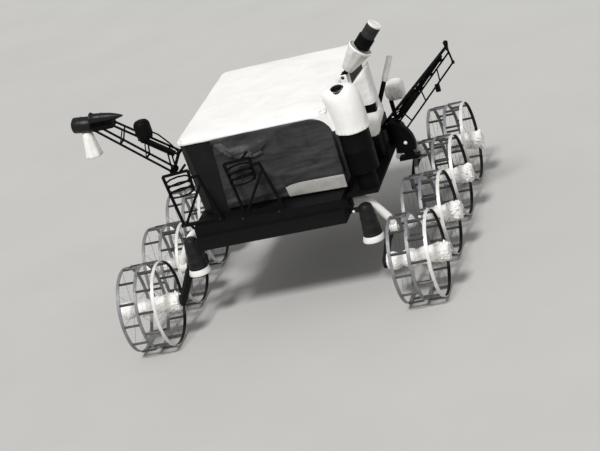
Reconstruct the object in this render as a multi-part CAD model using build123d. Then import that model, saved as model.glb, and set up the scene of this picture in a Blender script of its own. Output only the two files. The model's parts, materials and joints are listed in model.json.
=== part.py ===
from build123d import *
import math
import os

os.makedirs("parts", exist_ok=True)

# Planetary rover, running model. Millimetres, +Z up, X to the rover's right,
# the near end with the dark panel towards -Y, floor at Z = 0.

# Driving dimensions
WHEELBASE = 1700.0      # first to fourth axle
TRACK = 1600.0          # between wheel centre planes
WHEEL_D = 510.0         # over the lugs
HOOP_PITCH = 105.0      # between the three hoops of a wheel
HUB_L = 360.0           # cloth-wrapped hub drum
TUB_HALF_X = 440.0      # tub at its rim
TUB_HALF_Y = 600.0
TUB_Z = (640.0, 1085.0)
COVER_TOP = 1128.0
COVER_OVER = 12.0       # the cover beyond the tub's rim
LEFT_REACH = 975.0      # middle to the left boom's drum end
RIGHT_REACH = 1070.0    # middle to the right boom's tip
BEAM_HALF = 40.0        # side beam, half its width
BEAM_Z = (500.0, 580.0)

# Worked out from them
AXLE_PITCH = WHEELBASE / 3
AXLE_Z = WHEEL_D / 2
AXLE_YS = [-WHEELBASE / 2 + AXLE_PITCH * i for i in range(4)]
BOGIE_Y = (AXLE_YS[0] + AXLE_YS[1]) / 2
WHEEL_X = TRACK / 2
BEAM_X = TUB_HALF_X - BEAM_HALF
BEAM_SIDE = BEAM_X + BEAM_HALF
COVER_HALF_X = TUB_HALF_X + COVER_OVER
COVER_HALF_Y = TUB_HALF_Y + COVER_OVER
REACH = max(LEFT_REACH, WHEEL_X + HUB_L / 2)
FRAME_X = (REACH - RIGHT_REACH) / 2     # puts the origin midway between the two booms' ends

# Wheel
LUGS_PER_ROW = 12
LUG_HALF = 8.0          # half a lug's foot
HOOP_R = 249.0          # outer hoops, to their corners
HOOP_T = 5.0
HOOP_W = 20.0
SPOKES = LUGS_PER_ROW // 2
SPOKE_R = 4.0
SPOKE_SINK = 2.0        # a spoke's end inside its hoop
PIN_R = 14.0
PIN_CLEAR = 0.05
PIN_L = 60.0
HUB_GAP = 5.0           # bogie boss to hub drum

# Bogies
BOGIE_T = 16.0
BOGIE_BOSS_R = 34.0
BOGIE_PIVOT_Z = 340.0
BOGIE_X1 = WHEEL_X - HUB_L / 2 - HUB_GAP
BOGIE_X0 = BOGIE_X1 - BOGIE_T
ARCH_R = 24.0
ARCH_X = BOGIE_X1 + 26.0        # the arch's upright end
ARCH = [                # share of the way out, height above the bogie's pivot
    (0.0, 205.0), (0.24, 205.0), (0.45, 188.0), (0.61, 148.0), (0.8, 75.0), (1.0, 32.0), (1.0, 0.0)]
CANISTER = [            # height, corner radius
    (352.0, 57.0), (500.0, 43.0), (526.0, 40.0), (542.0, 26.0)]
SKIRT = [
    (320.0, 62.0), (327.0, 66.0), (352.0, 58.0)]
CANISTER_X = BOGIE_X0 - 4.0 - SKIRT[1][1]
CANISTER_Y = BOGIE_Y - 75.0


def box(x0, x1, y0, y1, z0, z1):
    """A box between two corners."""
    return Pos((x0 + x1) / 2, (y0 + y1) / 2, (z0 + z1) / 2) * Box(x1 - x0, y1 - y0, z1 - z0)


def plane_along(p0, p1):
    """The plane at p0 that looks along p0 to p1, with its x axis level."""
    d = Vector(*p1) - Vector(*p0)
    side = d.cross(Vector(0, 0, 1))
    if side.length < 1e-6 * d.length:
        side = Vector(1, 0, 0)
    return Plane(origin=Vector(*p0), x_dir=side, z_dir=d), d.length


def bar(p0, p1, w, h=None):
    """A square bar from p0 to p1."""
    plane, length = plane_along(p0, p1)
    return plane * Box(w, h or w, length, align=(Align.CENTER, Align.CENTER, Align.MIN))


def skinned(rings):
    """A flat-faced solid through rings of points, whose edges run parallel from ring to ring."""
    faces = [Face(Wire.make_polygon(ring)) for ring in (rings[0], rings[-1])]
    for low, high in zip(rings, rings[1:]):
        for i in range(len(low)):
            j = (i + 1) % len(low)
            faces.append(Face(Wire.make_polygon([low[i], low[j], high[j], high[i]])))
    return Solid(Shell(faces))


def turned(p0, p1, profile, sides=12):
    """A faceted turned piece about the line p0 to p1; profile rows are station, corner radius."""
    plane, _ = plane_along(p0, p1)
    turns = [2 * math.pi * (i + 0.5) / sides for i in range(sides)]
    return skinned([[plane.from_local_coords((r * math.cos(a), r * math.sin(a), d)) for a in turns] for d, r in profile])


def rod(p0, p1, r, r1=None, sides=12):
    """A faceted round rod, or a cone, from p0 to p1."""
    length = (Vector(*p1) - Vector(*p0)).length
    return turned(p0, p1, [(0.0, r), (length, r if r1 is None else r1)], sides)


def bore(p0, p1, r, sides=12):
    """A faceted bore whose flats lie r from its axis."""
    return rod(p0, p1, r / math.cos(math.pi / sides), sides=sides)


def tube(path, r, sides=8):
    """A faceted tube along a path in one plane, mitred at its corners."""
    points = [Vector(*p) for p in path]
    runs = [(b - a).normalized() for a, b in zip(points, points[1:])]
    normal = runs[0].cross(runs[-1]).normalized()
    side = normal.cross(runs[0])
    turns = [2 * math.pi * (i + 0.5) / sides for i in range(sides)]
    rings = [[points[0] + normal * (r * math.cos(a)) + side * (r * math.sin(a)) for a in turns]]
    for k, run in enumerate(runs):
        cut = run if k == len(runs) - 1 else (run + runs[k + 1]).normalized()
        rings.append([p + run * (((points[k + 1] - p).dot(cut)) / run.dot(cut)) for p in rings[-1]])
    return skinned(rings)


def fused(shapes):
    """One solid from shapes that overlap."""
    first, *others = shapes
    return first.fuse(*others).clean() if others else first


def octagon(half_x, half_y, cut, z):
    """A level rectangle with cut corners, as a ring of points."""
    return [(x, y, z) for x, y in (
        (-half_x + cut, -half_y), (half_x - cut, -half_y), (half_x, -half_y + cut), (half_x, half_y - cut),
        (half_x - cut, half_y), (-half_x + cut, half_y), (-half_x, half_y - cut), (-half_x, -half_y + cut))]


def save(node, *solids):
    """Write one node: a solid, or several that don't touch."""
    placed = [Pos(FRAME_X, 0, 0) * solid for solid in solids]
    shape = placed[0] if len(placed) == 1 else Compound(children=placed)
    export_step(shape, f"parts/{node}.step")


def both_sides(shape):
    """A shape and its mirror image across the middle."""
    return [shape, mirror(shape, about=Plane.YZ)]


def both_ends(shape):
    """A shape and its mirror image front to back."""
    return [shape, mirror(shape, about=Plane.XZ)]


# Wheels: three hoops, two staggered rows of lugs, spokes to the hub drum
HUB_HALF = HUB_L / 2
HUB_PROFILE = [         # station along the axle, radius of the wrapped drum
    (-HUB_HALF, 40.0), (-HUB_HALF + 10, 47.0), (-HUB_HALF + 32, 42.0), (HUB_HALF - 132, 42.0), (HUB_HALF - 110, 56.0),
    (HUB_HALF - 14, 56.0), (HUB_HALF, 46.0)]
OUTER_HOOPS = [         # hoop station, drum radius there, half steps its lugs are turned
    (-HOOP_PITCH, 42.0, 0), (HOOP_PITCH, 56.0, 1)]
LUG_STEP = 360.0 / LUGS_PER_ROW


def hoop(x, r, sides, turn):
    """One hoop across the axle at station x, r to its corners."""
    plane = Plane.YZ.offset(x - HOOP_W / 2) * Rot(0, 0, turn)
    return extrude(plane * RegularPolygon(r, sides), HOOP_W) - extrude(plane * RegularPolygon(r - HOOP_T, sides), HOOP_W)


def make_rim():
    """Hoops, lugs and spokes of one wheel about the X axis."""
    half_turn = math.pi / LUGS_PER_ROW
    foot = HOOP_R - LUG_HALF * math.tan(half_turn)
    middle_r = foot + LUG_HALF * math.tan(half_turn / 2)
    parts = [hoop(0.0, middle_r, 2 * LUGS_PER_ROW, 90)]
    section = make_face(Polyline((-LUG_HALF, foot), (LUG_HALF, foot), (0, WHEEL_D / 2), close=True))
    for x, drum_r, half_steps in OUTER_HOOPS:
        turn = half_steps * LUG_STEP / 2
        parts.append(hoop(x, HOOP_R, LUGS_PER_ROW, 90 + turn))
        x0 = min(x, 0.0) + HOOP_W / 2
        lug = extrude(Plane.YZ.offset(x0) * section, HOOP_PITCH - HOOP_W)
        parts += [Rot(turn + LUG_STEP * i, 0, 0) * lug for i in range(LUGS_PER_ROW)]
        end = (HOOP_R - HOOP_T) * math.cos(half_turn) + SPOKE_SINK
        spoke = turned((x, 0, 0), (x, 0, end), [(drum_r, SPOKE_R), (end, SPOKE_R)], 3)
        parts += [Rot(turn + LUG_STEP * (2 * i + 0.5), 0, 0) * spoke for i in range(SPOKES)]
    return fused(parts)


drum = turned((0, 0, 0), (1, 0, 0), HUB_PROFILE)
rim = make_rim()
for side, sx in (("left", -1), ("right", 1)):
    inner_x = -sx * HUB_L / 2
    hub = drum - bore((inner_x - sx, 0, 0), (inner_x + sx * (PIN_L - HUB_GAP + 1), 0, 0), PIN_R + PIN_CLEAR)
    for i, y in enumerate(AXLE_YS, 1):
        place = Pos(sx * WHEEL_X, y, AXLE_Z)
        save(f"rim_{side}_{i}", place * rim)
        save(f"hub_{side}_{i}", place * hub)


# Bogies: a beam joins the axles of two wheels, and an arched tube hangs it on the chassis
def make_bogie():
    """The front right bogie beam with its two axle pins."""
    half = AXLE_PITCH / 2
    web = Polyline((-half, AXLE_Z - 26), (-half + 60, AXLE_Z - 26), (-60, BOGIE_PIVOT_Z - 60), (60, BOGIE_PIVOT_Z - 60),
                   (half - 60, AXLE_Z - 26), (half, AXLE_Z - 26), (half, AXLE_Z + 26), (70, BOGIE_PIVOT_Z + 10),
                   (-70, BOGIE_PIVOT_Z + 10), (-half, AXLE_Z + 26), close=True)
    parts = [Pos(0, BOGIE_Y, 0) * extrude(Plane.YZ.offset(BOGIE_X0) * make_face(web), BOGIE_T)]
    for y in AXLE_YS[:2]:
        parts.append(turned((BOGIE_X0, y, AXLE_Z), (BOGIE_X1, y, AXLE_Z), [(0.0, BOGIE_BOSS_R), (BOGIE_T, BOGIE_BOSS_R)]))
        parts.append(rod((BOGIE_X0 + 1, y, AXLE_Z), (BOGIE_X1 + PIN_L, y, AXLE_Z), PIN_R))
    return fused(parts)


def make_arch():
    """The front right arched tube, from the chassis beam out and down to the bogie's pivot."""
    arm = tube([(BEAM_SIDE + (ARCH_X - BEAM_SIDE) * share, BOGIE_Y, BOGIE_PIVOT_Z + rise) for share, rise in ARCH], ARCH_R)
    boss = rod((BOGIE_X1 + 0.2, BOGIE_Y, BOGIE_PIVOT_Z), (ARCH_X + 26, BOGIE_Y, BOGIE_PIVOT_Z), BOGIE_BOSS_R)
    return fused([arm, boss])


def make_canister():
    """The front right spring canister with its bracket to the beam."""
    barrel = turned((CANISTER_X, CANISTER_Y, 0), (CANISTER_X, CANISTER_Y, 1), CANISTER)
    bracket = box(BEAM_SIDE, CANISTER_X, CANISTER_Y - 20, CANISTER_Y + 20, BEAM_Z[0] + 4, BEAM_Z[0] + 24)
    return fused([barrel, bracket])


def make_skirt():
    """The pale flared skirt under a canister."""
    return turned((CANISTER_X, CANISTER_Y, 0), (CANISTER_X, CANISTER_Y, 1), SKIRT)


def four_corners(shape):
    """A front right piece at all four corners."""
    return [s for one in both_sides(shape) for s in both_ends(one)]


save("bogie_beams", *four_corners(make_bogie()))
save("bogie_arches", *four_corners(make_arch()))
save("spring_canisters", *four_corners(make_canister()))
save("canister_skirts", *four_corners(make_skirt()))


# Chassis: two side beams, cross members and the dark belly box under the tub
BEAM_Y = TUB_HALF_Y + 180
BELLY_Y = TUB_HALF_Y + 160
CROSS_HALF = 30.0
CROSS_YS = [-BEAM_Y + CROSS_HALF, -AXLE_PITCH / 2, AXLE_PITCH / 2, BEAM_Y - CROSS_HALF]
save("side_beams", *both_sides(box(BEAM_X - BEAM_HALF, BEAM_SIDE, -BEAM_Y, BEAM_Y, *BEAM_Z)))
cross_x = BEAM_X - BEAM_HALF
save("cross_members", *[box(-cross_x, cross_x, y - CROSS_HALF, y + CROSS_HALF, *BEAM_Z) for y in CROSS_YS])
save("belly_box", box(-BEAM_SIDE, BEAM_SIDE, -BELLY_Y, BELLY_Y, BEAM_Z[1], TUB_Z[0]))

# Tub with small cut corners, and its cloth cover, almost flat on top
TUB_SECTIONS = [        # half width, half depth, corner cut, height
    (TUB_HALF_X - 14, TUB_HALF_Y - 6, 70, TUB_Z[0]), (TUB_HALF_X, TUB_HALF_Y, 40, TUB_Z[1])]
COVER_SECTIONS = [
    (COVER_HALF_X, COVER_HALF_Y, 44, TUB_Z[1]), (COVER_HALF_X - 6, COVER_HALF_Y - 6, 44, TUB_Z[1] + 24),
    (COVER_HALF_X - 44, COVER_HALF_Y - 50, 60, COVER_TOP - 7), (COVER_HALF_X - 200, COVER_HALF_Y - 260, 70, COVER_TOP)]
save("tub", skinned([octagon(*s) for s in TUB_SECTIONS]))
save("top_cover", skinned([octagon(*s) for s in COVER_SECTIONS]))

# Dark panel on the near face, slanting on its left, with a turned edge on its right and a pale strip along its foot
PANEL_TOP_X = -118.0
PANEL_FOOT_X = -350.0
PANEL_X1 = TUB_HALF_X + 18
PANEL_Z = (TUB_Z[0] + 20, TUB_Z[1])
PANEL_CUT = (108.0, 66.0)       # the corner cut off under the cover
PANEL_T = 10.0
EDGE_L = 110.0
panel_face = Plane(origin=(0, -TUB_HALF_Y, 0), x_dir=(1, 0, 0), z_dir=(0, -1, 0))
panel_outline = Polyline((PANEL_FOOT_X, PANEL_Z[0]), (PANEL_X1, PANEL_Z[0]), (PANEL_X1, PANEL_Z[1] - PANEL_CUT[1]),
                         (PANEL_X1 - PANEL_CUT[0], PANEL_Z[1]), (PANEL_TOP_X, PANEL_Z[1]), close=True)
panel = extrude(panel_face * make_face(panel_outline), PANEL_T)
turned_edge = box(PANEL_X1 - 8, PANEL_X1, -TUB_HALF_Y - 1, -TUB_HALF_Y + EDGE_L, PANEL_Z[0], PANEL_Z[1] - PANEL_CUT[1])
save("front_panel", fused([panel, turned_edge]))
strip_front = -TUB_HALF_Y - PANEL_T
save("panel_strip", box(PANEL_X1 - 373, PANEL_X1, strip_front - 10, strip_front, PANEL_Z[0], PANEL_Z[0] + 68))

# Lattice stands: two alike, each with a stack of rings, the left one with the boom's pin
STAND_Y = -TUB_HALF_Y - 110
STAND_T = 14.0
STAND_BARS = [          # x0, z0, x1, z1 from the stand's left foot
    (0, 0, -33, 310), (-33, 310, 122, 318), (75, 318, 119, 355), (122, 200, 122, 318), (122, 272, 166, 276),
    (166, 280, 228, 0), (176, 236, 20, 10)]
STANDS = [              # left foot x
    -507.0, -137.0]
RING_R = 79.0
RING_T = 9.0
RING_ZS = [203.0, 239.0, 275.0]
BOOM_PIN_R = 9.0
LEFT_PIVOT = (STANDS[0] + 27, STAND_Y + 55, TUB_Z[0] + 330)


def make_stand(foot_x):
    """One lattice stand, its foot on the belly box."""
    z0 = TUB_Z[0]
    parts = [box(foot_x - 14, foot_x + 242, STAND_Y - 12, STAND_Y + 12, z0, z0 + 16)]
    for xa, za, xb, zb in STAND_BARS:
        parts.append(bar((foot_x + xa, STAND_Y, z0 + 10 + za), (foot_x + xb, STAND_Y, z0 + 10 + zb), STAND_T))
    for z in RING_ZS:
        centre = Pos(foot_x + 48, STAND_Y, z0 + z)
        parts.append(centre * (extrude(RegularPolygon(RING_R, 10), 8) - extrude(RegularPolygon(RING_R - RING_T, 10), 8)))
    return fused(parts)


left_stand, near_stand = [make_stand(x) for x in STANDS]
x, y, z = LEFT_PIVOT
save("lattice_stand_left", fused([left_stand, rod((x, STAND_Y - 4, z), (x, y + 24, z), BOOM_PIN_R)]))
save("lattice_stand_near", near_stand)

# Left boom: two lower rails and one upper rail, two drive units, a drum-ended head with a hanging sleeve
BOOM_BAR = 10.0
LOW_HALF = 34.0         # half the width between the low rails, and between the high rails
HIGH_HALF = 28.0
HEAD_DRUM_L = 113.0
DRUM_IN = -LEFT_REACH + HEAD_DRUM_L
LEFT_TIP_LOW = (DRUM_IN + 12, 1308.0)
LEFT_TIP_HIGH = (DRUM_IN + 117, 1318.0)
LEFT_ROOT_HIGH = (LEFT_PIVOT[0] + 60, LEFT_PIVOT[2] + 96)
DOME = [                # height above the high rails, corner radius of the drive dome
    (-4.0, 40.0), (26.0, 48.0), (84.0, 46.0), (104.0, 28.0)]
DOME_SHARE = 0.5        # along the high rails from their root
DRIVE_TUBE = (0.08, 0.62, 24.0, 17.0)   # shares along the high rails, drop below them, radius
PIPE_R = 5.0
PIPE = [                # share along the high rails, height above them
    (0.40, 60.0), (0.26, 62.0), (0.11, 36.0), (0.0, 0.0)]


def between(a, b, t):
    """The point a share t of the way from a to b."""
    return tuple(p + (q - p) * t for p, q in zip(a, b))


def truss(y, half, low0, low1, high0, high1, bays, high_half=0.0):
    """A boom of two low rails with one or two high rails in the X-Z plane, braced in bays."""
    at = lambda p, dy: (p[0], y + dy, p[1])
    highs = (-high_half, high_half) if high_half else (0.0,)
    parts = [bar(at(low0, d), at(low1, d), BOOM_BAR) for d in (-half, half)]
    parts += [bar(at(high0, d), at(high1, d), BOOM_BAR) for d in highs]
    for i in range(bays + 1):
        low = between(low0, low1, i / bays)
        parts.append(bar(at(low, -half), at(low, half), BOOM_BAR - 2))
        high = between(high0, high1, min(1, (i + 0.5) / bays))
        for d, h in ((-half, -high_half), (half, high_half)):
            parts.append(bar(at(low, d), at(high, h), BOOM_BAR - 3))
    return parts


def above_high(share, rise):
    """The point above the left boom's high rails at a share of their length."""
    px, pz = between(LEFT_ROOT_HIGH, LEFT_TIP_HIGH, share)
    return px, y, pz + rise


left_parts = truss(y, LOW_HALF, (x, z), LEFT_TIP_LOW, LEFT_ROOT_HIGH, LEFT_TIP_HIGH, 3, HIGH_HALF)
left_parts.append(rod((x, y - 30, z), (x, y + 30, z), 20))
left_parts.append(bar((x, y, z), (LEFT_ROOT_HIGH[0], y, LEFT_ROOT_HIGH[1]), 16))
left_parts.append(box(LEFT_ROOT_HIGH[0] - 8, LEFT_ROOT_HIGH[0] + 8, y - HIGH_HALF - 5, y + HIGH_HALF + 5, LEFT_ROOT_HIGH[1] - 8, LEFT_ROOT_HIGH[1] + 8))
left_parts.append(box(LEFT_TIP_LOW[0] - 8, LEFT_TIP_HIGH[0] + 10, y - 40, y + 40, LEFT_TIP_LOW[1] - 8, LEFT_TIP_HIGH[1] + 6))
dome_foot = above_high(DOME_SHARE, 0)
left_parts.append(turned(dome_foot, above_high(DOME_SHARE, 1), DOME))
tube_root, tube_tip, tube_drop, tube_r = DRIVE_TUBE
left_parts.append(rod(above_high(tube_root, -tube_drop), above_high(tube_tip, -tube_drop), tube_r))
left_parts += [rod(above_high(*a), above_high(*b), PIPE_R, sides=6) for a, b in zip(PIPE, PIPE[1:])]
save("left_boom", fused(left_parts) - bore((x, y - 40, z), (x, y + 40, z), BOOM_PIN_R + PIN_CLEAR))

HEAD_R = 46.0
HORN = [                # station from the drum's inner end, radius
    (0.0, 36.0), (14.0, 36.0), (24.0, 30.0), (95.0, 27.0), (150.0, 18.0), (196.0, 5.0)]
HEAD_SEAT_Z = LEFT_TIP_HIGH[1] + 6
HEAD_Z = (HEAD_SEAT_Z + 26, HEAD_SEAT_Z + 12)      # the drum's axis at its outer and its inner end
HORN_Z = (HEAD_SEAT_Z + 42, HEAD_SEAT_Z + 24)
head_drum = turned((-LEFT_REACH, y, HEAD_Z[0]), (DRUM_IN, y, HEAD_Z[1]), [(0.0, HEAD_R - 5), (10.0, HEAD_R), (HEAD_DRUM_L, HEAD_R)])
head_horn = turned((DRUM_IN - 4, y, HORN_Z[0]), (DRUM_IN + 196, y, HORN_Z[1]), HORN)
head_seat = box(DRUM_IN - 1, LEFT_TIP_HIGH[0], y - 14, y + 14, HEAD_SEAT_Z, HEAD_SEAT_Z + 30)
save("boom_head", fused([head_drum, head_horn, head_seat]))
SLEEVE = [              # drop below the head drum, radius
    (-6.0, 31.0), (12.0, 34.0), (130.0, 48.0), (148.0, 45.0)]
sleeve_top = (HEAD_Z[0] + HEAD_Z[1]) / 2 - HEAD_R
sleeve_x = DRUM_IN - 48
save("hanging_sleeve", turned((sleeve_x, y, sleeve_top), (sleeve_x, y, sleeve_top - 1), SLEEVE) - head_drum)

# Right side shelf and what stands on it
KNUCKLE_X = COVER_HALF_X + 10
HOUSING_X = (KNUCKLE_X + 38, KNUCKLE_X + 164)
SHELF_X = (BEAM_SIDE, HOUSING_X[1])
SHELF_Z = (590.0, 606.0)
POD = (COVER_HALF_X + 112, -TUB_HALF_Y + 50)
POD_R = 88.0
SHELF_Y = (POD[1] - POD_R, 380.0)
floor_z = SHELF_Z[1]
save("side_shelf", box(*SHELF_X, *SHELF_Y, *SHELF_Z))

POD_CAN = [             # height, corner radius
    (floor_z, 60.0), (700.0, 60.0), (712.0, POD_R), (962.0, POD_R)]
POD_CAP = [
    (962.0, POD_R + 6), (1010.0, POD_R + 9), (1150.0, POD_R + 5), (1192.0, POD_R - 12), (1214.0, POD_R - 42), (1220.0, POD_R - 66)]
pod_axis = ((*POD, 0), (*POD, 1))
save("pod_can", turned(*pod_axis, POD_CAN, 16))
WINDOW = (-24.0, -56.0, 26.0)   # from the pod's axis, and the recess's radius
window_x, window_y = POD[0] + WINDOW[0], POD[1] + WINDOW[1]
window = rod((window_x, window_y, POD_CAP[3][0] - 14), (window_x, window_y - 40, POD_CAP[3][0] + 60), WINDOW[2])
save("pod_cap", turned(*pod_axis, POD_CAP, 16) - window)

HOUSING_Y = (-160.0, 0.0)
HOUSING_TOP = (1060.0, 1166.0)  # at its inner and its outer side
HOUSING_SLOT = (66.0, 54.0, 896.0, 948.0)   # width, depth, lower and upper height at its near outer corner
MAST_Y = (HOUSING_Y[0] + HOUSING_Y[1]) / 2
MAST_ROOT = (KNUCKLE_X + 14, MAST_Y, 1128.0)
MAST_PIN_R = 8.0
KNUCKLE_HALF = 42.0
CHEEK_T = 10.0
housing_outline = Polyline((HOUSING_X[0], floor_z), (HOUSING_X[1], floor_z), (HOUSING_X[1], HOUSING_TOP[1]), (HOUSING_X[0], HOUSING_TOP[0]), close=True)
housing_plane = Plane(origin=(0, HOUSING_Y[1], 0), x_dir=(1, 0, 0), z_dir=(0, -1, 0))
housing = extrude(housing_plane * make_face(housing_outline), HOUSING_Y[1] - HOUSING_Y[0])
slot_w, slot_d, slot_z0, slot_z1 = HOUSING_SLOT
save("side_housing", housing - box(HOUSING_X[1] - slot_w, HOUSING_X[1] + 1, HOUSING_Y[0] - 1, HOUSING_Y[0] + slot_d, slot_z0, slot_z1))
knuckle = [box(KNUCKLE_X, HOUSING_X[0], MAST_Y - KNUCKLE_HALF, MAST_Y + KNUCKLE_HALF, MAST_ROOT[2] - 112, MAST_ROOT[2] - 36)]
for y0 in (MAST_Y - KNUCKLE_HALF, MAST_Y + KNUCKLE_HALF - CHEEK_T):
    knuckle.append(box(KNUCKLE_X, HOUSING_X[0], y0, y0 + CHEEK_T, MAST_ROOT[2] - 42, MAST_ROOT[2] + 14))
knuckle.append(rod((MAST_ROOT[0], MAST_Y - 40, MAST_ROOT[2]), (MAST_ROOT[0], MAST_Y + 40, MAST_ROOT[2]), MAST_PIN_R))
save("mast_knuckle", fused(knuckle))

# Mast: leans out from its knuckle under a flared cloth cone, with the camera drum on top
MAST_LEAN = 45.0
CONE = [                # distance up the mast, corner radius
    (40.0, 31.0), (192.0, 60.0), (198.0, 61.0)]
SPINDLE_R = 12.0
SPINDLE_LOW = 145.0
CAMERA_GAP = 5.0
CAMERA = [              # length, corner radius
    (76.0, 49.0), (76.0, 43.0)]
DISC = (14.0, 42.0)
lean = (math.sin(math.radians(MAST_LEAN)), 0, math.cos(math.radians(MAST_LEAN)))


def along_mast(d):
    """The point d above the mast's root along its axis."""
    return tuple(a + b * d for a, b in zip(MAST_ROOT, lean))


eye = rod((MAST_ROOT[0], MAST_Y - 27, MAST_ROOT[2]), (MAST_ROOT[0], MAST_Y + 27, MAST_ROOT[2]), 18)
eye_bore = bore((MAST_ROOT[0], MAST_Y - 30, MAST_ROOT[2]), (MAST_ROOT[0], MAST_Y + 30, MAST_ROOT[2]), MAST_PIN_R + PIN_CLEAR)
save("mast_root", fused([eye, rod(along_mast(8), along_mast(CONE[0][0]), 14)]) - eye_bore)
spindle_bore = bore(along_mast(SPINDLE_LOW - 5), along_mast(CONE[-1][0] + 5), SPINDLE_R + PIN_CLEAR)
save("mast_cone", turned(MAST_ROOT, along_mast(1), CONE, 16) - spindle_bore)
head_low = CONE[-1][0] + CAMERA_GAP
head_mid = head_low + CAMERA[0][0]
head_top = head_mid + CAMERA[1][0]
camera = [turned(MAST_ROOT, along_mast(1), [(head_low, CAMERA[0][1]), (head_mid, CAMERA[0][1])], 16),
          turned(MAST_ROOT, along_mast(1), [(head_mid - 1, CAMERA[1][1]), (head_top, CAMERA[1][1])], 16),
          rod(along_mast(SPINDLE_LOW), along_mast(head_low + 2), SPINDLE_R)]
save("camera_drum", fused(camera))
save("camera_disc", turned(MAST_ROOT, along_mast(1), [(head_top, DISC[1]), (head_top + DISC[0], DISC[1])], 16))

# Leaning strut with its cloth sleeve, and the wrapped box on its post
STRUT_Y = 84.0
STRUT_FOOT = (COVER_HALF_X + 5, STRUT_Y, floor_z)
STRUT_TOP = (COVER_HALF_X + 276, STRUT_Y, 1132.0)
STRUT_R = 14.0
strut_mid = between(STRUT_FOOT, STRUT_TOP, 0.74)
strut = fused([rod(STRUT_FOOT, strut_mid, STRUT_R),
               box(STRUT_FOOT[0] - 17, STRUT_FOOT[0] + 26, STRUT_Y - STRUT_R, STRUT_Y + STRUT_R, floor_z, floor_z + 24)])
save("strut", strut - box(STRUT_FOOT[0] - 60, STRUT_FOOT[0] + 60, STRUT_Y - 30, STRUT_Y + 30, floor_z - 40, floor_z))
save("strut_sleeve", rod(strut_mid, STRUT_TOP, 21))
BOX_POST = (SHELF_X[1] - 15, 305.0)
BOX_Z = (800.0, 915.0)
BOX_HALF = 54.0
POST_R = 13.0
save("box_post", rod((*BOX_POST, floor_z), (*BOX_POST, BOX_Z[0]), POST_R))
box_x = BOX_POST[0] + 40
save("wrapped_box", box(box_x - BOX_HALF, box_x + BOX_HALF, BOX_POST[1] - BOX_HALF, BOX_POST[1] + BOX_HALF, *BOX_Z))

# Right boom on its pedestal, with the domed gear case beside it
RIGHT_Y = 170.0
RIGHT_RAIL_HALF = 34.0
RIGHT_PIVOT = (SHELF_X[1] - 26, RIGHT_Y, floor_z + 90)
RIGHT_ROOT_LOW = (RIGHT_PIVOT[0] + 88, RIGHT_PIVOT[2] - 46)
RIGHT_ROOT_MID = (RIGHT_PIVOT[0] + 62, RIGHT_PIVOT[2] + 8)
RIGHT_ROOT_HIGH = (RIGHT_PIVOT[0] - 80, RIGHT_PIVOT[2] - 28)
RIGHT_TIP_X = RIGHT_REACH - 22
RIGHT_TIP_HIGH_Z = 1092.0
RIGHT_TIP_MID_Z = 1056.0
TIP_BLOCK = 16.0
RIGHT_TIP_LOW = (RIGHT_REACH - TIP_BLOCK / 2, 990.0)
POSTS = [               # share along the lowest rail, share along the middle rail
    (0.12, 0.10), (0.42, 0.44), (0.72, 0.76)]
BRACKET = (0.66, 26.0, 40.0)    # share along the lowest rail, width, drop
CHEEK_Y = RIGHT_RAIL_HALF + 14
x, y, z = RIGHT_PIVOT
pedestal = [box(x - 30, SHELF_X[1], y - CHEEK_Y - 12, y + CHEEK_Y + 12, floor_z, floor_z + 6)]
for y0 in (y - CHEEK_Y - 12, y + CHEEK_Y):
    pedestal.append(box(x - 20, x + 20, y0, y0 + 12, floor_z, z + 18))
pedestal.append(rod((x, y - CHEEK_Y - 6, z), (x, y + CHEEK_Y + 6, z), BOOM_PIN_R))
save("boom_pedestal", fused(pedestal))
tip_mid = between((RIGHT_TIP_X, RIGHT_TIP_HIGH_Z), RIGHT_TIP_LOW, (RIGHT_TIP_HIGH_Z - RIGHT_TIP_MID_Z) / (RIGHT_TIP_HIGH_Z - RIGHT_TIP_LOW[1]))
right_parts = truss(y, RIGHT_RAIL_HALF, RIGHT_ROOT_HIGH, (RIGHT_TIP_X, RIGHT_TIP_HIGH_Z), RIGHT_ROOT_MID, tip_mid, 5)
right_parts.append(bar((RIGHT_ROOT_LOW[0], y, RIGHT_ROOT_LOW[1]), (RIGHT_TIP_LOW[0], y, RIGHT_TIP_LOW[1]), BOOM_BAR))
for low_share, mid_share in POSTS:
    (xa, za), (xb, zb) = between(RIGHT_ROOT_LOW, RIGHT_TIP_LOW, low_share), between(RIGHT_ROOT_MID, tip_mid, mid_share)
    right_parts.append(bar((xa, y, za), (xb, y, zb), BOOM_BAR - 3))
xa, za = between(RIGHT_ROOT_LOW, RIGHT_TIP_LOW, BRACKET[0])
right_parts.append(box(xa - BRACKET[1] / 2, xa + BRACKET[1] / 2, y - 12, y + 12, za - BRACKET[2], za + 4))
right_parts.append(rod((x, y - RIGHT_RAIL_HALF, z), (x, y + RIGHT_RAIL_HALF, z), 20))
for root in (RIGHT_ROOT_LOW, RIGHT_ROOT_MID, RIGHT_ROOT_HIGH):
    right_parts.append(bar((x, y, z), (root[0], y, root[1]), 16))
right_parts.append(bar((RIGHT_TIP_X, y, RIGHT_TIP_HIGH_Z), (RIGHT_TIP_LOW[0], y, RIGHT_TIP_LOW[1]), BOOM_BAR))
right_parts.append(box(RIGHT_REACH - TIP_BLOCK, RIGHT_REACH, y - 8, y + 8, RIGHT_TIP_LOW[1] - 8, RIGHT_TIP_LOW[1] + 8))
save("right_boom", fused(right_parts) - bore((x, y - 60, z), (x, y + 60, z), BOOM_PIN_R + PIN_CLEAR))
KNOB = [                # height above its seat, corner radius
    (0.0, 12.0), (24.0, 16.0), (32.0, 8.0)]
knob_z = RIGHT_TIP_HIGH_Z + (BOOM_BAR - 2) / 2
save("boom_tip", turned((RIGHT_TIP_X, y, knob_z), (RIGHT_TIP_X, y, knob_z + 1), KNOB, 8))
GEAR_Y = 80.0
GEAR_R = 150.0
GEAR_HALF = 22.0
GEAR_X = SHELF_X[1] - 36        # centre of its round side
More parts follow.
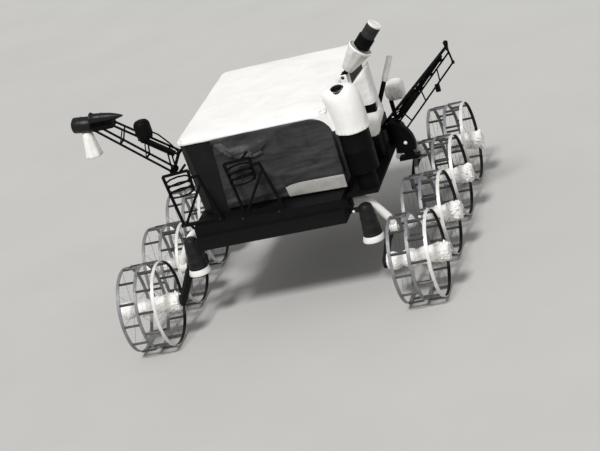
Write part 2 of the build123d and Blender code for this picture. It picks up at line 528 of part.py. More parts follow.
GEAR_Z = SHELF_Z[0] + 2
GEAR_DROP = 42.0                # its flat underside below that centre
GEAR_FOOT = (120.0, 20.0, 34.0)  # plate length, thickness, gap under the case
GEAR_STEPS = 8
start = -math.asin(GEAR_DROP / GEAR_R)
end = math.acos((SHELF_X[1] - GEAR_X) / GEAR_R)
arc = [(GEAR_X + GEAR_R * math.cos(a), GEAR_Z + GEAR_R * math.sin(a)) for a in [start + (end - start) * i / GEAR_STEPS for i in range(GEAR_STEPS + 1)]]
gear_outline = Polyline((SHELF_X[1], GEAR_Z - GEAR_DROP), *arc, close=True)
gear_plane = Plane(origin=(0, GEAR_Y + GEAR_HALF, 0), x_dir=(1, 0, 0), z_dir=(0, -1, 0))
gear_low = GEAR_Z - GEAR_DROP
foot_top = gear_low - GEAR_FOOT[2]
gear_foot = box(arc[0][0] + 10 - GEAR_FOOT[0], arc[0][0] + 10, GEAR_Y - GEAR_HALF - 8, GEAR_Y + GEAR_HALF + 8, foot_top - GEAR_FOOT[1], foot_top)
gear_neck = box(arc[0][0] - 76, arc[0][0] - 20, GEAR_Y - 14, GEAR_Y + 14, foot_top - 2, gear_low + 2)
save("gear_case", fused([extrude(gear_plane * make_face(gear_outline), 2 * GEAR_HALF), gear_neck, gear_foot]))
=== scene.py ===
import json
import logging
import math
from dataclasses import dataclass
from enum import Enum
from typing import Callable, Optional, Sequence

import bmesh
import bpy
from mathutils import Matrix, Vector, noise


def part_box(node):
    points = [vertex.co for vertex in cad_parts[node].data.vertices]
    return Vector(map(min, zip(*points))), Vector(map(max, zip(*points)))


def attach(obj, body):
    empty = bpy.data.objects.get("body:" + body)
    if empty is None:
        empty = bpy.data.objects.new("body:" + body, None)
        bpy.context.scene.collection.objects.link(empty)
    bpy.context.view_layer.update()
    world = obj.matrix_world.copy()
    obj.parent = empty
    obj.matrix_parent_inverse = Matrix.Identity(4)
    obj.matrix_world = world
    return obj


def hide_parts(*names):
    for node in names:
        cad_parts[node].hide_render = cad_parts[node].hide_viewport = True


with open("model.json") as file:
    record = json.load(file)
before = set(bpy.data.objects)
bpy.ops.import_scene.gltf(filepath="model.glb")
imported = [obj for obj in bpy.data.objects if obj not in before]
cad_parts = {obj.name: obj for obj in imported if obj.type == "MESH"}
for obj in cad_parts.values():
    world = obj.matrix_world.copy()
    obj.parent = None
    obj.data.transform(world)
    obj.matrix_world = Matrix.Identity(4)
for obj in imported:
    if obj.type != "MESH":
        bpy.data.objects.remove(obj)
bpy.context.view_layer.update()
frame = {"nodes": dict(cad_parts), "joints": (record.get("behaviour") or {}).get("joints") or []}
LOG = logging.getLogger("rover")
MM = 0.001
DUST_TOP = 0.7          # dust fades out at this height, in metres
DUST_COLOUR = "8f8d88"
SIM_FRAMES = 20         # steps of each cloth simulation
WELD = 0.00002          # points closer than this are one point, in metres
TUBE_STEPS = 8          # rings between two points of a smooth tube
ORIGIN = Vector((0, 0, 0))
UP = Vector((0, 0, 1))
TO_RIGHT = Vector((1, 0, 0))
TO_LEFT = Vector((-1, 0, 0))
TO_NEAR = Vector((0, -1, 0))
Piece = bpy.types.Object
Tree = bpy.types.NodeTree
Socket = bpy.types.NodeSocket
Rule = Callable[[Vector, Vector], Vector]


def mm(*values: float) -> tuple[tuple[float, float], ...]:
    """Pair up the stations of a turned piece.

    Args:
        values: Distance along the axis and radius in turn, in millimetres.

    Returns:
        The same pairs in metres.
    """
    return tuple((along / 1000, radius / 1000) for along, radius in zip(values[::2], values[1::2]))


def clamp(value: float) -> float:
    """Hold a value between nought and one."""
    return max(0.0, min(1.0, value))


def bell(offset: float, width: float) -> float:
    """Return a hump that is one at nought and fades out past a width."""
    return math.exp(-(offset / width) ** 2)


def around(point: Vector, axis: Vector) -> tuple[float, Vector]:
    """Return a point's angle round an upright axis, and the way out from it."""
    angle = math.atan2(point.y - axis.y, point.x - axis.x)
    return angle, Vector((math.cos(angle), math.sin(angle), 0))


def linear(hex_colour: str) -> tuple[float, float, float, float]:
    """Turn an sRGB hex colour into linear light.

    Args:
        hex_colour: Six hex digits, with or without a leading #.

    Returns:
        Red, green, blue and an alpha of one.
    """
    digits = hex_colour.lstrip("#")
    values = [int(digits[i:i + 2], 16) / 255 for i in (0, 2, 4)]
    return (*[v / 12.92 if v <= 0.04045 else ((v + 0.055) / 1.055) ** 2.4 for v in values], 1.0)


def add_node(tree: Tree, kind: str, inputs: Optional[dict] = None, **settings: object) -> bpy.types.Node:
    """Add a node with its settings, its values and its links.

    Args:
        tree: The material's node tree.
        kind: The node's type.
        inputs: Socket name or number to a plain value, or to the output socket that feeds it.
        settings: Properties of the node itself.

    Returns:
        The new node.
    """
    node = tree.nodes.new(kind)
    for key, value in settings.items():
        setattr(node, key, value)
    for key, value in (inputs or {}).items():
        socket = node.inputs[key]
        if isinstance(value, Socket):
            tree.links.new(value, socket)
        else:
            socket.default_value = value
    return node


@dataclass
class Graph:
    """A material's node tree, with short ways to add its usual nodes."""

    tree: Tree

    @classmethod
    def start(cls, material: bpy.types.Material) -> "Graph":
        """Clear a material's node tree and start afresh."""
        material.use_nodes = True
        material.node_tree.nodes.clear()
        return cls(material.node_tree)

    def place(self) -> Socket:
        """Add object coordinates, in metres."""
        return add_node(self.tree, "ShaderNodeTexCoord").outputs["Object"]

    def noise(self, place: Socket, scale: float, detail: float, roughness: float = 0.5, distortion: float = 0.0,
              **settings: object) -> Socket:
        """Add a noise and return its height."""
        values = {"Vector": place, "Scale": scale, "Detail": detail, "Roughness": roughness, "Distortion": distortion}
        return add_node(self.tree, "ShaderNodeTexNoise", values, **settings).outputs["Fac"]

    def spread(self, value: Socket, low: float, high: float, to_low: float, to_high: float) -> Socket:
        """Map a value from one range to another."""
        values = {"Value": value, "From Min": low, "From Max": high, "To Min": to_low, "To Max": to_high}
        return add_node(self.tree, "ShaderNodeMapRange", values).outputs["Result"]

    def combine(self, operation: str, first: Socket, second: Socket, **settings: object) -> Socket:
        """Combine two values."""
        return add_node(self.tree, "ShaderNodeMath", {0: first, 1: second}, operation=operation,
                        **settings).outputs[0]

    def blend(self, share: Socket, first: object, second: object) -> Socket:
        """Mix two colours."""
        return add_node(self.tree, "ShaderNodeMix", {"Factor": share, 6: first, 7: second},
                        data_type="RGBA").outputs[2]

    def surface(self, values: dict) -> None:
        """Add the shader and lead it to the output."""
        shader = add_node(self.tree, "ShaderNodeBsdfPrincipled", values)
        add_node(self.tree, "ShaderNodeOutputMaterial", {"Surface": shader.outputs["BSDF"]})


class Pattern(Enum):
    """How a finish breaks up its surface."""

    PAINT = "sprayed paint over sheet metal"
    CLOTH = "woven glass cloth"
    FOIL = "crinkled metallised film"
    METAL = "bare rolled sheet"


PAINT, CLOTH, FOIL, METAL = Pattern


@dataclass(frozen=True)
class Finish:
    """One real finish, from its colours down to its bump."""

    name: str
    slot: str
    pattern: Pattern
    colour: str
    shade: str               # the darker tone in its hollows and dirt
    roughness: float
    metallic: float = 0.0
    grain_mm: float = 3.0    # size of the finest break-up that shows
    crease_mm: float = 60.0  # size of its broad creases or stains
    bump_mm: float = 0.6
    sheen: float = 0.0
    dust: float = 0.0        # share of pale dust low down
    specular: float = 0.5    # how much light its face throws back
    patch: float = 0.35      # how strongly the shade comes through

    def material(self) -> bpy.types.Material:
        """Build the procedural material, once.

        Returns:
            The material, shared by every piece with this finish.
        """
        made = bpy.data.materials.get(self.name)
        if made is not None:
            return made
        made = bpy.data.materials.new(self.name)
        graph = Graph.start(made)
        place = graph.place()
        broad = graph.noise(place, 1 / (self.crease_mm * MM), 5.0, 0.62, 0.7)
        fine = self.fine_pattern(graph, place)
        stain = graph.spread(broad, 0.4, 0.72, 0.0, self.patch)
        colour = graph.blend(stain, linear(self.colour), linear(self.shade))
        if self.dust > 0:
            # pale dust on the low parts, in patches
            height = add_node(graph.tree, "ShaderNodeSeparateXYZ", {0: place}).outputs["Z"]
            low = graph.spread(height, DUST_TOP, 0.0, 0.0, self.dust)
            share = graph.combine("MULTIPLY", low, broad, use_clamp=True)
            colour = graph.blend(share, colour, linear(DUST_COLOUR))
        rough = graph.spread(broad, 0.3, 0.75, max(0.05, self.roughness - 0.1), min(1.0, self.roughness + 0.12))
        height = graph.combine("ADD", fine, broad)
        bump = add_node(graph.tree, "ShaderNodeBump", {"Strength": 0.55, "Distance": self.bump_mm * MM,
                                                       "Height": height})
        graph.surface({"Base Color": colour, "Roughness": rough, "Metallic": self.metallic,
                       "Normal": bump.outputs["Normal"],
                       "Specular IOR Level": self.specular, "Sheen Weight": self.sheen})
        return made

    def fine_pattern(self, graph: Graph, place: Socket) -> Socket:
        """Add the finest break-up: threads, film creases, rolling marks or orange peel.

        Args:
            graph: The material's nodes.
            place: Object coordinates in metres.

        Returns:
            A height from nought to about one.
        """
        scale = 1 / (self.grain_mm * MM)
        if self.pattern is CLOTH:
            # warp and weft, drawn a few millimetres apart so that they show
            values = {"Vector": place, "Scale": scale / 6.3, "Distortion": 1.2, "Detail": 1.0}
            warp, weft = (add_node(graph.tree, "ShaderNodeTexWave", values, bands_direction=way) for way in "XZ")
            return graph.combine("MULTIPLY", warp.outputs["Fac"], weft.outputs["Fac"])
        if self.pattern is FOIL:
            return graph.noise(place, scale / 6, 4.0, distortion=0.9, noise_type="RIDGED_MULTIFRACTAL",
                               normalize=True)
        if self.pattern is METAL:
            long_way = add_node(graph.tree, "ShaderNodeMapping", {"Vector": place, "Scale": (0.08, 1.0, 1.0)})
            return graph.noise(long_way.outputs[0], scale, 3.0)
        return graph.noise(place, scale, 2.0)


# Titanium sheet rolled into hoops: satin, with soil rubbed into it
HOOP_METAL = Finish("rolled_titanium_hoop", "wheel_metal", METAL, "8d8c8f", "57565a", 0.5, 0.4, 2.0, 45, 0.2,
                    dust=0.3, patch=0.6)
# The outboard hoop is the same titanium, painted almost white as painted light for its sunlit arc
HOOP_BRIGHT = Finish("painted_light_hoop", "wheel_metal", METAL, "e2e1dd", "a9a8a4", 0.42, 0.1, 2.0, 60, 0.2,
                     dust=0.2)
# Fine drawn steel wire, dull from dust
WIRE = Finish("drawn_steel_wire", "wheel_metal", METAL, "6a6968", "3f3e3d", 0.5, 0.6, 1.5, 50, 0.1, dust=0.3)
# Folded cleats: the same sheet, painted dark as painted shade for their shaded undersides, with pale dust low down
LUG_METAL = Finish("painted_shade_cleat", "wheel_metal", METAL, "454446", "232223", 0.55, 0.4, 2.0, 40, 0.25, dust=0.3,
                   patch=0.6)
# The bright hoop's inside, painted near black as painted shade for the hoop's shaded inner face
HOOP_SHADE = Finish("painted_shade_hoop_inside", "wheel_metal", METAL, "1a1a1b", "0c0c0c", 0.6, 0.1, 2.0, 50, 0.15,
               specular=0.2)
# White glass cloth: matt, faintly fuzzy, soft grey in its folds
WRAP = Finish("white_wrap_cloth", "wrap_cloth", CLOTH, "f4f3ef", "bdbbb6", 0.88, 0.0, 5.0, 45, 0.9, sheen=0.15,
              dust=0.15, patch=0.35)
# The mast's cone is the white cover cloth painted a shade greyer, as painted shade for its shaded sides
CONE_CLOTH = Finish("painted_shade_cone_cloth", "cover_cloth", CLOTH, "d3d2ce", "a3a19c", 0.86, 0.0, 5.0, 60, 0.8,
                    sheen=0.12, patch=0.5)
# The white cover's close weave, with broad soft stains
COVER = Finish("white_cover_cloth", "cover_cloth", CLOTH, "f3f2ef", "cfcdc8", 0.86, 0.0, 5.0, 160, 0.8, sheen=0.12,
               patch=0.3)
# Dark satin enamel on tube and plate
DARK = Finish("dark_satin_enamel", "dark_paint", PAINT, "0f0f10", "060606", 0.6, 0.0, 2.2, 90, 0.15, dust=0.1,
              specular=0.07)
# Deeper black enamel on the booms, the pod's can and the camera
BLACK = Finish("black_satin_enamel", "black_paint", PAINT, "0d0d0e", "050506", 0.55, 0.0, 2.2, 80, 0.15,
               specular=0.06)
# The boom head's enamel has chalked in the sun, so its upper side catches the light
CHALKED = Finish("chalked_black_enamel", "black_paint", PAINT, "131314", "080809", 0.42, 0.0, 2.4, 45, 0.2, patch=0.7,
                 specular=0.28)
# White enamel on the arches, skirts and small fittings
WHITE = Finish("white_enamel", "white_paint", PAINT, "eeece8", "c2c0ba", 0.42, 0.0, 2.5, 80, 0.15, dust=0.15)
# The canisters' grey enamel, painted nearly black as painted shade for the shaded canisters
SHADED_CANISTER_GREY = Finish("painted_shade_grey_enamel", "grey_paint", PAINT, "161617", "0b0b0c", 0.5, 0.0, 2.2, 70, 0.15, dust=0.1,
                specular=0.2)
# Grey satin enamel on collars, bolts and rings
GREY = Finish("grey_satin_enamel", "grey_paint", PAINT, "262627", "131313", 0.52, 0.0, 2.2, 70, 0.15, dust=0.2,
              specular=0.25)
# The tub's smooth grey coat, a little cloudy
TUB_COAT = Finish("smooth_grey_coat", "tub_grey", PAINT, "1e1e1f", "101011", 0.6, 0.0, 3.0, 240, 0.2, patch=0.6,
                  specular=0.12)
# Dark metallised film over padding: satin highlights along every crease
DARK_FILM = Finish("dark_crinkled_film", "dark_foil", FOIL, "373738", "19191a", 0.5, 0.1, 14.0, 110, 2.6, patch=0.75,
                   specular=0.35)
# A rolled fold of the same film, painted lighter as painted light on its sunlit ridge
LIT_FILM = Finish("painted_light_rolled_film", "dark_foil", FOIL, "626263", "2e2e2f", 0.5, 0.1, 12.0, 60, 2.2, patch=0.9,
                  specular=0.35)
# Pale film of the strip, crinkled and half matt
PALE_FILM = Finish("pale_crinkled_film", "pale_foil", FOIL, "b5b3ae", "7d7b77", 0.5, 0.2, 12.0, 90, 2.0, patch=0.5)
# The housing's film is backed with white cloth, so it is paler and duller
HOUSING_FILM = Finish("cloth_backed_film", "pale_foil", FOIL, "f1efec", "d2d0cc", 0.62, 0.05, 14.0, 80, 1.4,
                      patch=0.45)
# Dark glass of the pod's window
LENS = Finish("dark_window_glass", "black_paint", PAINT, "0e0f12", "050506", 0.12, 0.0, 30.0, 200, 0.02)


class Bench:
    """Modelling steps that every sub-assembly shares."""

    @staticmethod
    def clear() -> None:
        """Leave nothing selected."""
        bpy.ops.object.select_all(action="DESELECT")

    @staticmethod
    def pick(obj: Piece) -> None:
        """Select one piece alone and make it the active one."""
        Bench.clear()
        obj.select_set(True)
        bpy.context.view_layer.objects.active = obj

    @staticmethod
    def edit(obj: Piece) -> None:
        """Open one piece in edit mode with all of it selected."""
        Bench.pick(obj)
        bpy.ops.object.mode_set(mode="EDIT")
        bpy.ops.mesh.select_all(action="SELECT")

    @staticmethod
    def close() -> None:
        """Leave edit mode."""
        bpy.ops.object.mode_set(mode="OBJECT")

    @staticmethod
    def settle(obj: Piece, name: str, angle: float = 35.0, weld: bool = True) -> Piece:
        """Name a piece, put its place into its mesh, close it up and smooth it.

        Args:
            obj: The piece.
            name: Its name.
            angle: Edges sharper than this stay sharp, in degrees.
            weld: Whether doubled points are merged and the faces turned outwards.

        Returns:
            The same piece.
        """
        obj.name = obj.data.name = name
        Bench.pick(obj)
        bpy.ops.object.transform_apply(location=True, rotation=True, scale=True)
        if weld:
            Bench.edit(obj)
            bpy.ops.mesh.remove_doubles(threshold=WELD)
            bpy.ops.mesh.normals_make_consistent(inside=False)
            Bench.close()
        bpy.ops.object.shade_smooth_by_angle(angle=math.radians(angle))
        return obj

    @staticmethod
    def modify(obj: Piece, kind: str, **settings: object) -> None:
        """Add a modifier with its settings and apply it."""
        Bench.pick(obj)
        modifier = obj.modifiers.new(kind.title(), kind)
        for key, value in settings.items():
            setattr(modifier, key, value)
        bpy.ops.object.modifier_apply(modifier=modifier.name)

    @staticmethod
    def smooth(obj: Piece) -> None:
        """Subdivide a piece once."""
        Bench.modify(obj, "SUBSURF", levels=1, render_levels=1)

    @staticmethod
    def carve(obj: Piece, cutter: Piece) -> None:
        """Cut one piece's shape out of another and throw the cutter away."""
        Bench.modify(obj, "BOOLEAN", object=cutter, operation="DIFFERENCE", solver="EXACT")
        bpy.data.objects.remove(cutter)

    @staticmethod
    def turned(name: str, stations: Sequence[tuple[float, float]], start: Vector, along: Vector, sides: int = 48,
               capped: bool = True, angle: float = 35.0) -> Piece:
        """Model a turned piece by extruding a circle from station to station.

        Args:
            name: The piece's name.
            stations: Distance along the axis and radius, in metres.
            start: Where the axis starts.
            along: The axis's direction.
            sides: Points round the circle.
            capped: Whether its ends are closed.
            angle: Edges sharper than this stay sharp, in degrees.

        Returns:
            The piece.
        """
        Bench.clear()
        z, r = stations[0]
        bpy.ops.mesh.primitive_circle_add(vertices=sides, radius=r, fill_type="NGON" if capped else "NOTHING",
                                          location=(0, 0, 0))
        obj = bpy.context.object
        Bench.edit(obj)
        bpy.ops.transform.translate(value=(0, 0, z))
        for next_z, next_r in stations[1:]:
            bpy.ops.mesh.extrude_region_move(TRANSFORM_OT_translate={"value": (0, 0, next_z - z)})
            bpy.ops.transform.resize(value=(next_r / r, next_r / r, 1), center_override=(0, 0, next_z))
            z, r = next_z, next_r
        Bench.close()
        obj.rotation_mode = "QUATERNION"
        obj.rotation_quaternion = Vector(along).to_track_quat("Z", "Y")
        obj.location = start
        return Bench.settle(obj, name, angle)

    @staticmethod
    def box(low: Sequence[float], high: Sequence[float]) -> Piece:
        """Start a piece as the box between two corners, open in edit mode."""
        Bench.clear()
        low, high = Vector(low), Vector(high)
        bpy.ops.mesh.primitive_cube_add(size=1, location=(low + high) / 2, scale=high - low)
        obj = bpy.context.object
        bpy.ops.object.transform_apply(location=True, rotation=True, scale=True)
        Bench.edit(obj)
        return obj

    @staticmethod
    def block(name: str, low: Sequence[float], high: Sequence[float], bevel: float = 0.003,
              segments: int = 2) -> Piece:
        """Model a box between two corners with its edges bevelled in edit mode."""
        obj = Bench.box(low, high)
        bpy.ops.mesh.bevel(offset=bevel, segments=segments, affect="EDGES")
        Bench.close()
        return Bench.settle(obj, name)

    @staticmethod
    def tube(name: str, points: Sequence[Sequence[float]], radius: float, sides: int = 10,
             smooth: bool = True) -> Piece:
        """Model a round tube along a line of points."""
        curve = bpy.data.curves.new(name, "CURVE")
        curve.dimensions = "3D"
        curve.bevel_depth = radius
        curve.bevel_resolution = max(0, sides // 2 - 2)
        curve.use_fill_caps = True
        spline = curve.splines.new("NURBS" if smooth else "POLY")
        spline.points.add(len(points) - 1)
        for point, place in zip(spline.points, points):
            point.co = (*place, 1.0)
        if smooth:
            spline.order_u = 3
            spline.use_endpoint_u = True
            spline.resolution_u = TUBE_STEPS
        obj = bpy.data.objects.new(name, curve)
        bpy.context.scene.collection.objects.link(obj)
        Bench.pick(obj)
        bpy.ops.object.convert(target="MESH")
        return Bench.settle(bpy.context.object, name, 50.0)

    @staticmethod
    def inflated(obj: Piece, pressure: float, cap: float, voxel: float = 0.0, grow: float = 0.0,
                 held: Optional[Callable[[Vector], bool]] = None) -> Piece:
        """Fill a soft piece by a cloth simulation, so that it swells and creases between where it is held.

        Args:
            obj: The piece, closed and a little small.
            pressure: How hard it is filled.
            cap: Farthest that a point may move, in metres.
            voxel: Remesh size in metres, or nought to keep the mesh as it is.
            grow: Share by which the cloth is larger than its shape, which gives it its creases.
            held: Tells whether the cloth is tied down at a point.

        Returns:
            The same piece, with the simulation applied.
        """
        if voxel:
            Bench.modify(obj, "REMESH", mode="VOXEL", voxel_size=voxel)
        start = [v.co.copy() for v in obj.data.vertices]
        Bench.pick(obj)
        cloth = obj.modifiers.new("Cloth", "CLOTH")
        settings = cloth.settings
        settings.quality = 5
        settings.use_pressure = True
        settings.uniform_pressure_force = pressure
        settings.effector_weights.gravity = 0.0
        settings.shrink_min = -grow
        if held is not None:
            ties = obj.vertex_groups.new(name="ties")
            ties.add([i for i, at in enumerate(start) if held(at)], 1.0, "REPLACE")
            settings.vertex_group_mass = "ties"
        cloth.point_cache.frame_start = 1
        cloth.point_cache.frame_end = SIM_FRAMES
        scene = bpy.context.scene
        for step in range(1, SIM_FRAMES + 1):
            scene.frame_set(step)
        bpy.ops.object.modifier_apply(modifier=cloth.name)
        obj.vertex_groups.clear()
        for vertex, at in zip(obj.data.vertices, start):
            moved = vertex.co - at
            if moved.length > cap:
                vertex.co = at + moved.normalized() * cap
        obj.data.update()
        scene.frame_set(1)
        LOG.info("%s: simulated with %d points", obj.name, len(start))
        return obj

    @staticmethod
    def gridded(name: str, low: Sequence[float], high: Sequence[float], cell: float) -> Piece:
        """Model a box whose faces are cut into cells of about one size, for cloth and film."""
        obj = Bench.box(low, high)
        low, high = Vector(low), Vector(high)
        for axis in range(3):
            start, span = low[axis], high[axis] - low[axis]
            cuts = max(0, int(span / cell))
            for i in range(1, cuts + 1):
                place, normal = Vector(), Vector()
                place[axis], normal[axis] = start + span * i / (cuts + 1), 1.0
                bpy.ops.mesh.select_all(action="SELECT")
                bpy.ops.mesh.bisect(plane_co=place, plane_no=normal)
        Bench.close()
        return Bench.settle(obj, name, 60.0)

    @staticmethod
    def move(obj: Piece, rule: Rule) -> None:
        """Move each point of a piece by a rule.

        Args:
            obj: The piece.
            rule: Takes a point and its normal, and returns how far it moves.
        """
        normals = [v.normal.copy() for v in obj.data.vertices]
        for vertex, normal in zip(obj.data.vertices, normals):
            vertex.co += rule(vertex.co.copy(), normal)
        obj.data.update()

    @staticmethod
    def wrinkle(obj: Piece, amount: float, size: float, seed: float, stretch: Sequence[float] = (1, 1, 1),
                ridges: float = 0.0) -> None:
        """Wrinkle a soft piece along its normals.

        Args:
            obj: The piece.
            amount: Greatest move, in metres.
            size: Length of a wrinkle, in metres.
            seed: Where in the noise to read.
            stretch: How much longer wrinkles are along each axis.
            ridges: Share of sharp ridges among the soft swells.
        """
        def rule(point: Vector, normal: Vector) -> Vector:
            """Read the noise at one point."""
            at = Vector([c / (size * s) for c, s in zip(point, stretch)]) + Vector((seed, seed * 1.7, -seed))
            soft = noise.noise(at) + 0.5 * noise.noise(at * 2.1)
            sharp = 0.5 - 2 * abs(noise.noise(at * 0.9 + Vector((3.1, 0, 0))))
            return normal * amount * ((1 - ridges) * soft + ridges * sharp)
        Bench.move(obj, rule)

    @staticmethod
    def joined(name: str, pieces: Sequence[Piece], angle: float = 35.0) -> Piece:
        """Join several meshes into one piece."""
        Bench.clear()
        for piece in pieces:
            piece.select_set(True)
        bpy.context.view_layer.objects.active = pieces[0]
        if len(pieces) > 1:
            bpy.ops.object.join()
        return Bench.settle(bpy.context.object, name, angle, weld=False)

    @staticmethod
    def copied(obj: Piece, name: str, change: Matrix) -> Piece:
        """Copy a piece with a mesh of its own, moved or turned."""
        twin = obj.copy()
        twin.data = obj.data.copy()
        twin.name = twin.data.name = name
        twin.data.transform(change)
        bpy.context.scene.collection.objects.link(twin)
        return twin

    @staticmethod
    def studs(name: str, places: Sequence[Sequence[float]], facing: Vector, radius: float = 0.005,
              height: float = 0.004) -> Piece:
        """Model one domed fastener and repeat it at each place."""
        first = Bench.turned(name, [(0.0, radius), (height * 0.5, radius), (height, radius * 0.55)],
                             Vector(places[0]), facing, 8)
        rest = [Bench.copied(first, f"{name}_{i}", Matrix.Translation(Vector(p) - Vector(places[0]))) for i,
                p in enumerate(places[1:])]
        return Bench.joined(name, [first, *rest])


def dress(obj: Piece, finish: Finish, body: str, *nodes: str) -> Piece:
    """Give a new piece its finish, its body and the nodes that it stands for.

    Args:
        obj: The piece.
        finish: Its finish.
        body: The CAD body that it moves with.
        nodes: CAD nodes that it replaces, if any.

    Returns:
        The same piece.
    """
    obj.data.materials.clear()
    obj.data.materials.append(finish.material())
    if nodes:
        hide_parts(*nodes)
    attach(obj, body)
    LOG.info("%s: %d faces, %s", obj.name, len(obj.data.polygons), finish.name)
    return obj


def paint(node: str, finish: Finish) -> None:
    """Give a CAD node that stays a finish of its own."""
    obj = frame["nodes"][node]
    obj.data.materials.clear()
    obj.data.materials.append(finish.material())


def middle(node: str) -> Vector:
    """Return the middle of a CAD node's box."""
    low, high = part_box(node)
    return (low + high) / 2


@dataclass
class Wheel:
    """A wire wheel: three hoops, two staggered rows of lugs, a wire veil, spokes and a wrapped hub."""

    hoop_pitch: float = 0.105
    hoop_radius: float = 0.2475
    hoop_width: float = 0.020
    hoop_wall: float = 0.004
    tip_radius: float = 0.2548
    lugs_per_row: int = 12
    lug_half: float = 0.008
    lug_height: float = 0.012
    lug_crest: float = 0.22      # width of a lug's crest as a share of its foot
    veil_radius: float = 0.2425
    veil_wire: float = 0.0005
    veil_round: int = 60
    veil_across: int = 6
    spokes: int = 8
    spoke_radius: float = 0.0009
    hub_profile: tuple = mm(-180, 30, -178, 40, -170, 45, -150, 47, -125, 46, -108, 42, -99, 36, -92, 35.5, -84, 41,
                            -70, 46, -45, 47.5, -22, 45, -8, 38.5, -1, 37, 7, 42, 22, 47, 45, 48, 58, 44.5, 66, 42,
                            74, 45.5, 88, 49, 110, 51, 135, 51, 155, 50, 168, 47, 176, 40, 180, 30, 180, 12)
    hub_ties: tuple = (-0.095, -0.002, 0.066)
    hub_half: float = 0.180
    hub_ring: float = 0.0055
    hub_core: float = 0.012      # the hub's ends stay flat inside this radius
    tie_width: float = 0.020
    tie_grip: float = 0.004      # how far from a tie the cloth is held
    pleats: int = 17
    pleat_depth: float = 0.0020
    lump_depth: float = 0.0050
    fold_depth: float = 0.0024
    fray_from: float = 0.100
    fray_over: float = 0.050
    fray_length: float = 0.018
    spoke_feet: tuple = (0.036, 0.052)
    spoke_lace: float = 0.35     # how far a spoke slants to one side, in radians
    hub_seeds: tuple = (0.3, 4.1)
    hub_turn: float = 0.9        # each hub on a side is turned on by this, in radians

    def band(self, x: float, name: str) -> Piece:
        """Model one hoop as a thin band with rolled edges."""
        half, wall, r, lip = self.hoop_width / 2, self.hoop_wall, self.hoop_radius, 0.001
        outside = [(x - half, r - lip), (x - half + lip, r), (x + half - lip, r), (x + half, r - lip)]
        inside = [(at, r - wall) for at in (x + half, x + half - 0.004, x - half + 0.004, x - half)]
        section = [(x - half, r - wall), *outside, *inside]
        return Bench.turned(name, section, ORIGIN, TO_RIGHT, 96, capped=False, angle=40)

    def shade_band(self) -> Piece:
        """Model the dark band inside the bright hoop, which is painted shade for its shaded inner face."""
        half, outer, x = self.hoop_width / 2 - 0.0005, self.hoop_radius - self.hoop_wall + 0.0006, self.hoop_pitch
        inner = outer - 0.0015
        section = [(x - half, inner), (x - half, outer), (x + half, outer), (x + half, inner), (x - half, inner)]
        return Bench.turned("hoop_shade_band", section, ORIGIN, TO_RIGHT, 96, capped=False, angle=40)

    def lug(self, x: float, turn: float, name: str) -> Piece:
        """Model one lug as a folded cleat between two hoops."""
        half = Vector((self.hoop_pitch - self.hoop_width + 0.006, self.lug_half * 2, self.lug_height)) / 2
        obj = Bench.box(-half, half)
        bpy.ops.mesh.select_all(action="DESELECT")
        mesh = bmesh.from_edit_mesh(obj.data)
        for face in mesh.faces:
            face.select = face.normal.z > 0.9
        bmesh.update_edit_mesh(obj.data)
        bpy.ops.transform.resize(value=(1.0, self.lug_crest, 1.0), center_override=(0, 0, 0))
        bpy.ops.mesh.select_all(action="SELECT")
        bpy.ops.mesh.bevel(offset=0.0008, segments=1, affect="EDGES")
        Bench.close()
        obj.data.transform(Matrix.Translation((x, 0, self.tip_radius - self.lug_height / 2)))
        obj.data.transform(Matrix.Rotation(turn, 4, "X"))
        obj.name = name
        return obj

    def hoops(self) -> Piece:
        """Join the two dull hoops."""
        return Bench.joined("wheel_hoops", [self.band(-self.hoop_pitch, "hoop_in"), self.band(0.0, "hoop_mid")])

    def treads(self) -> Piece:
        """Join the lugs of both rows."""
        step = 2 * math.pi / self.lugs_per_row
        parts = []
        for row, stagger in ((-1, 0.0), (1, 0.5)):
            first = self.lug(row * self.hoop_pitch / 2, step * stagger, f"lug_{row}")
            turns = {i: Matrix.Rotation(step * i, 4, "X") for i in range(1, self.lugs_per_row)}
            parts += [first, *(Bench.copied(first, f"lug_{row}_{i}", turn) for i, turn in turns.items())]
        return Bench.joined("wheel_lugs", parts)

    def veil(self) -> Piece:
        """Model the wire cloth that is stretched over the hoops."""
        Bench.clear()
        span = self.hoop_pitch * 2
        bpy.ops.mesh.primitive_cylinder_add(vertices=self.veil_round, radius=self.veil_radius, depth=span,
                                            end_fill_type="NOTHING")
        obj = bpy.context.object
        Bench.edit(obj)
        for i in range(1, self.veil_across):
            bpy.ops.mesh.select_all(action="SELECT")
            bpy.ops.mesh.bisect(plane_co=(0, 0, -span / 2 + span * i / self.veil_across), plane_no=(0, 0, 1))
        Bench.close()
        Bench.modify(obj, "WIREFRAME", thickness=self.veil_wire, use_even_offset=False, use_boundary=True)
        obj.rotation_euler = (0, math.pi / 2, 0)
        return Bench.settle(obj, "veil", 60, weld=False)

    def wires(self) -> Piece:
        """Join the veil and the thin spokes, laced to one side and the other in turn."""
        parts = [self.veil()]
        rim = self.hoop_radius - self.hoop_wall + 0.001
        for x, foot in zip((-self.hoop_pitch, self.hoop_pitch), self.spoke_feet):
            for i in range(self.spokes):
                angle = 2 * math.pi * i / self.spokes
                lace = angle + (self.spoke_lace if i % 2 else -self.spoke_lace)
                start = Vector((x, foot * math.sin(lace), foot * math.cos(lace)))
                run = Vector((x, rim * math.sin(angle), rim * math.cos(angle))) - start
                stations = [(0.0, self.spoke_radius), (run.length, self.spoke_radius)]
                parts.append(Bench.turned("spoke", stations, start, run, 6))
        return Bench.joined("wheel_wires", parts, 60)

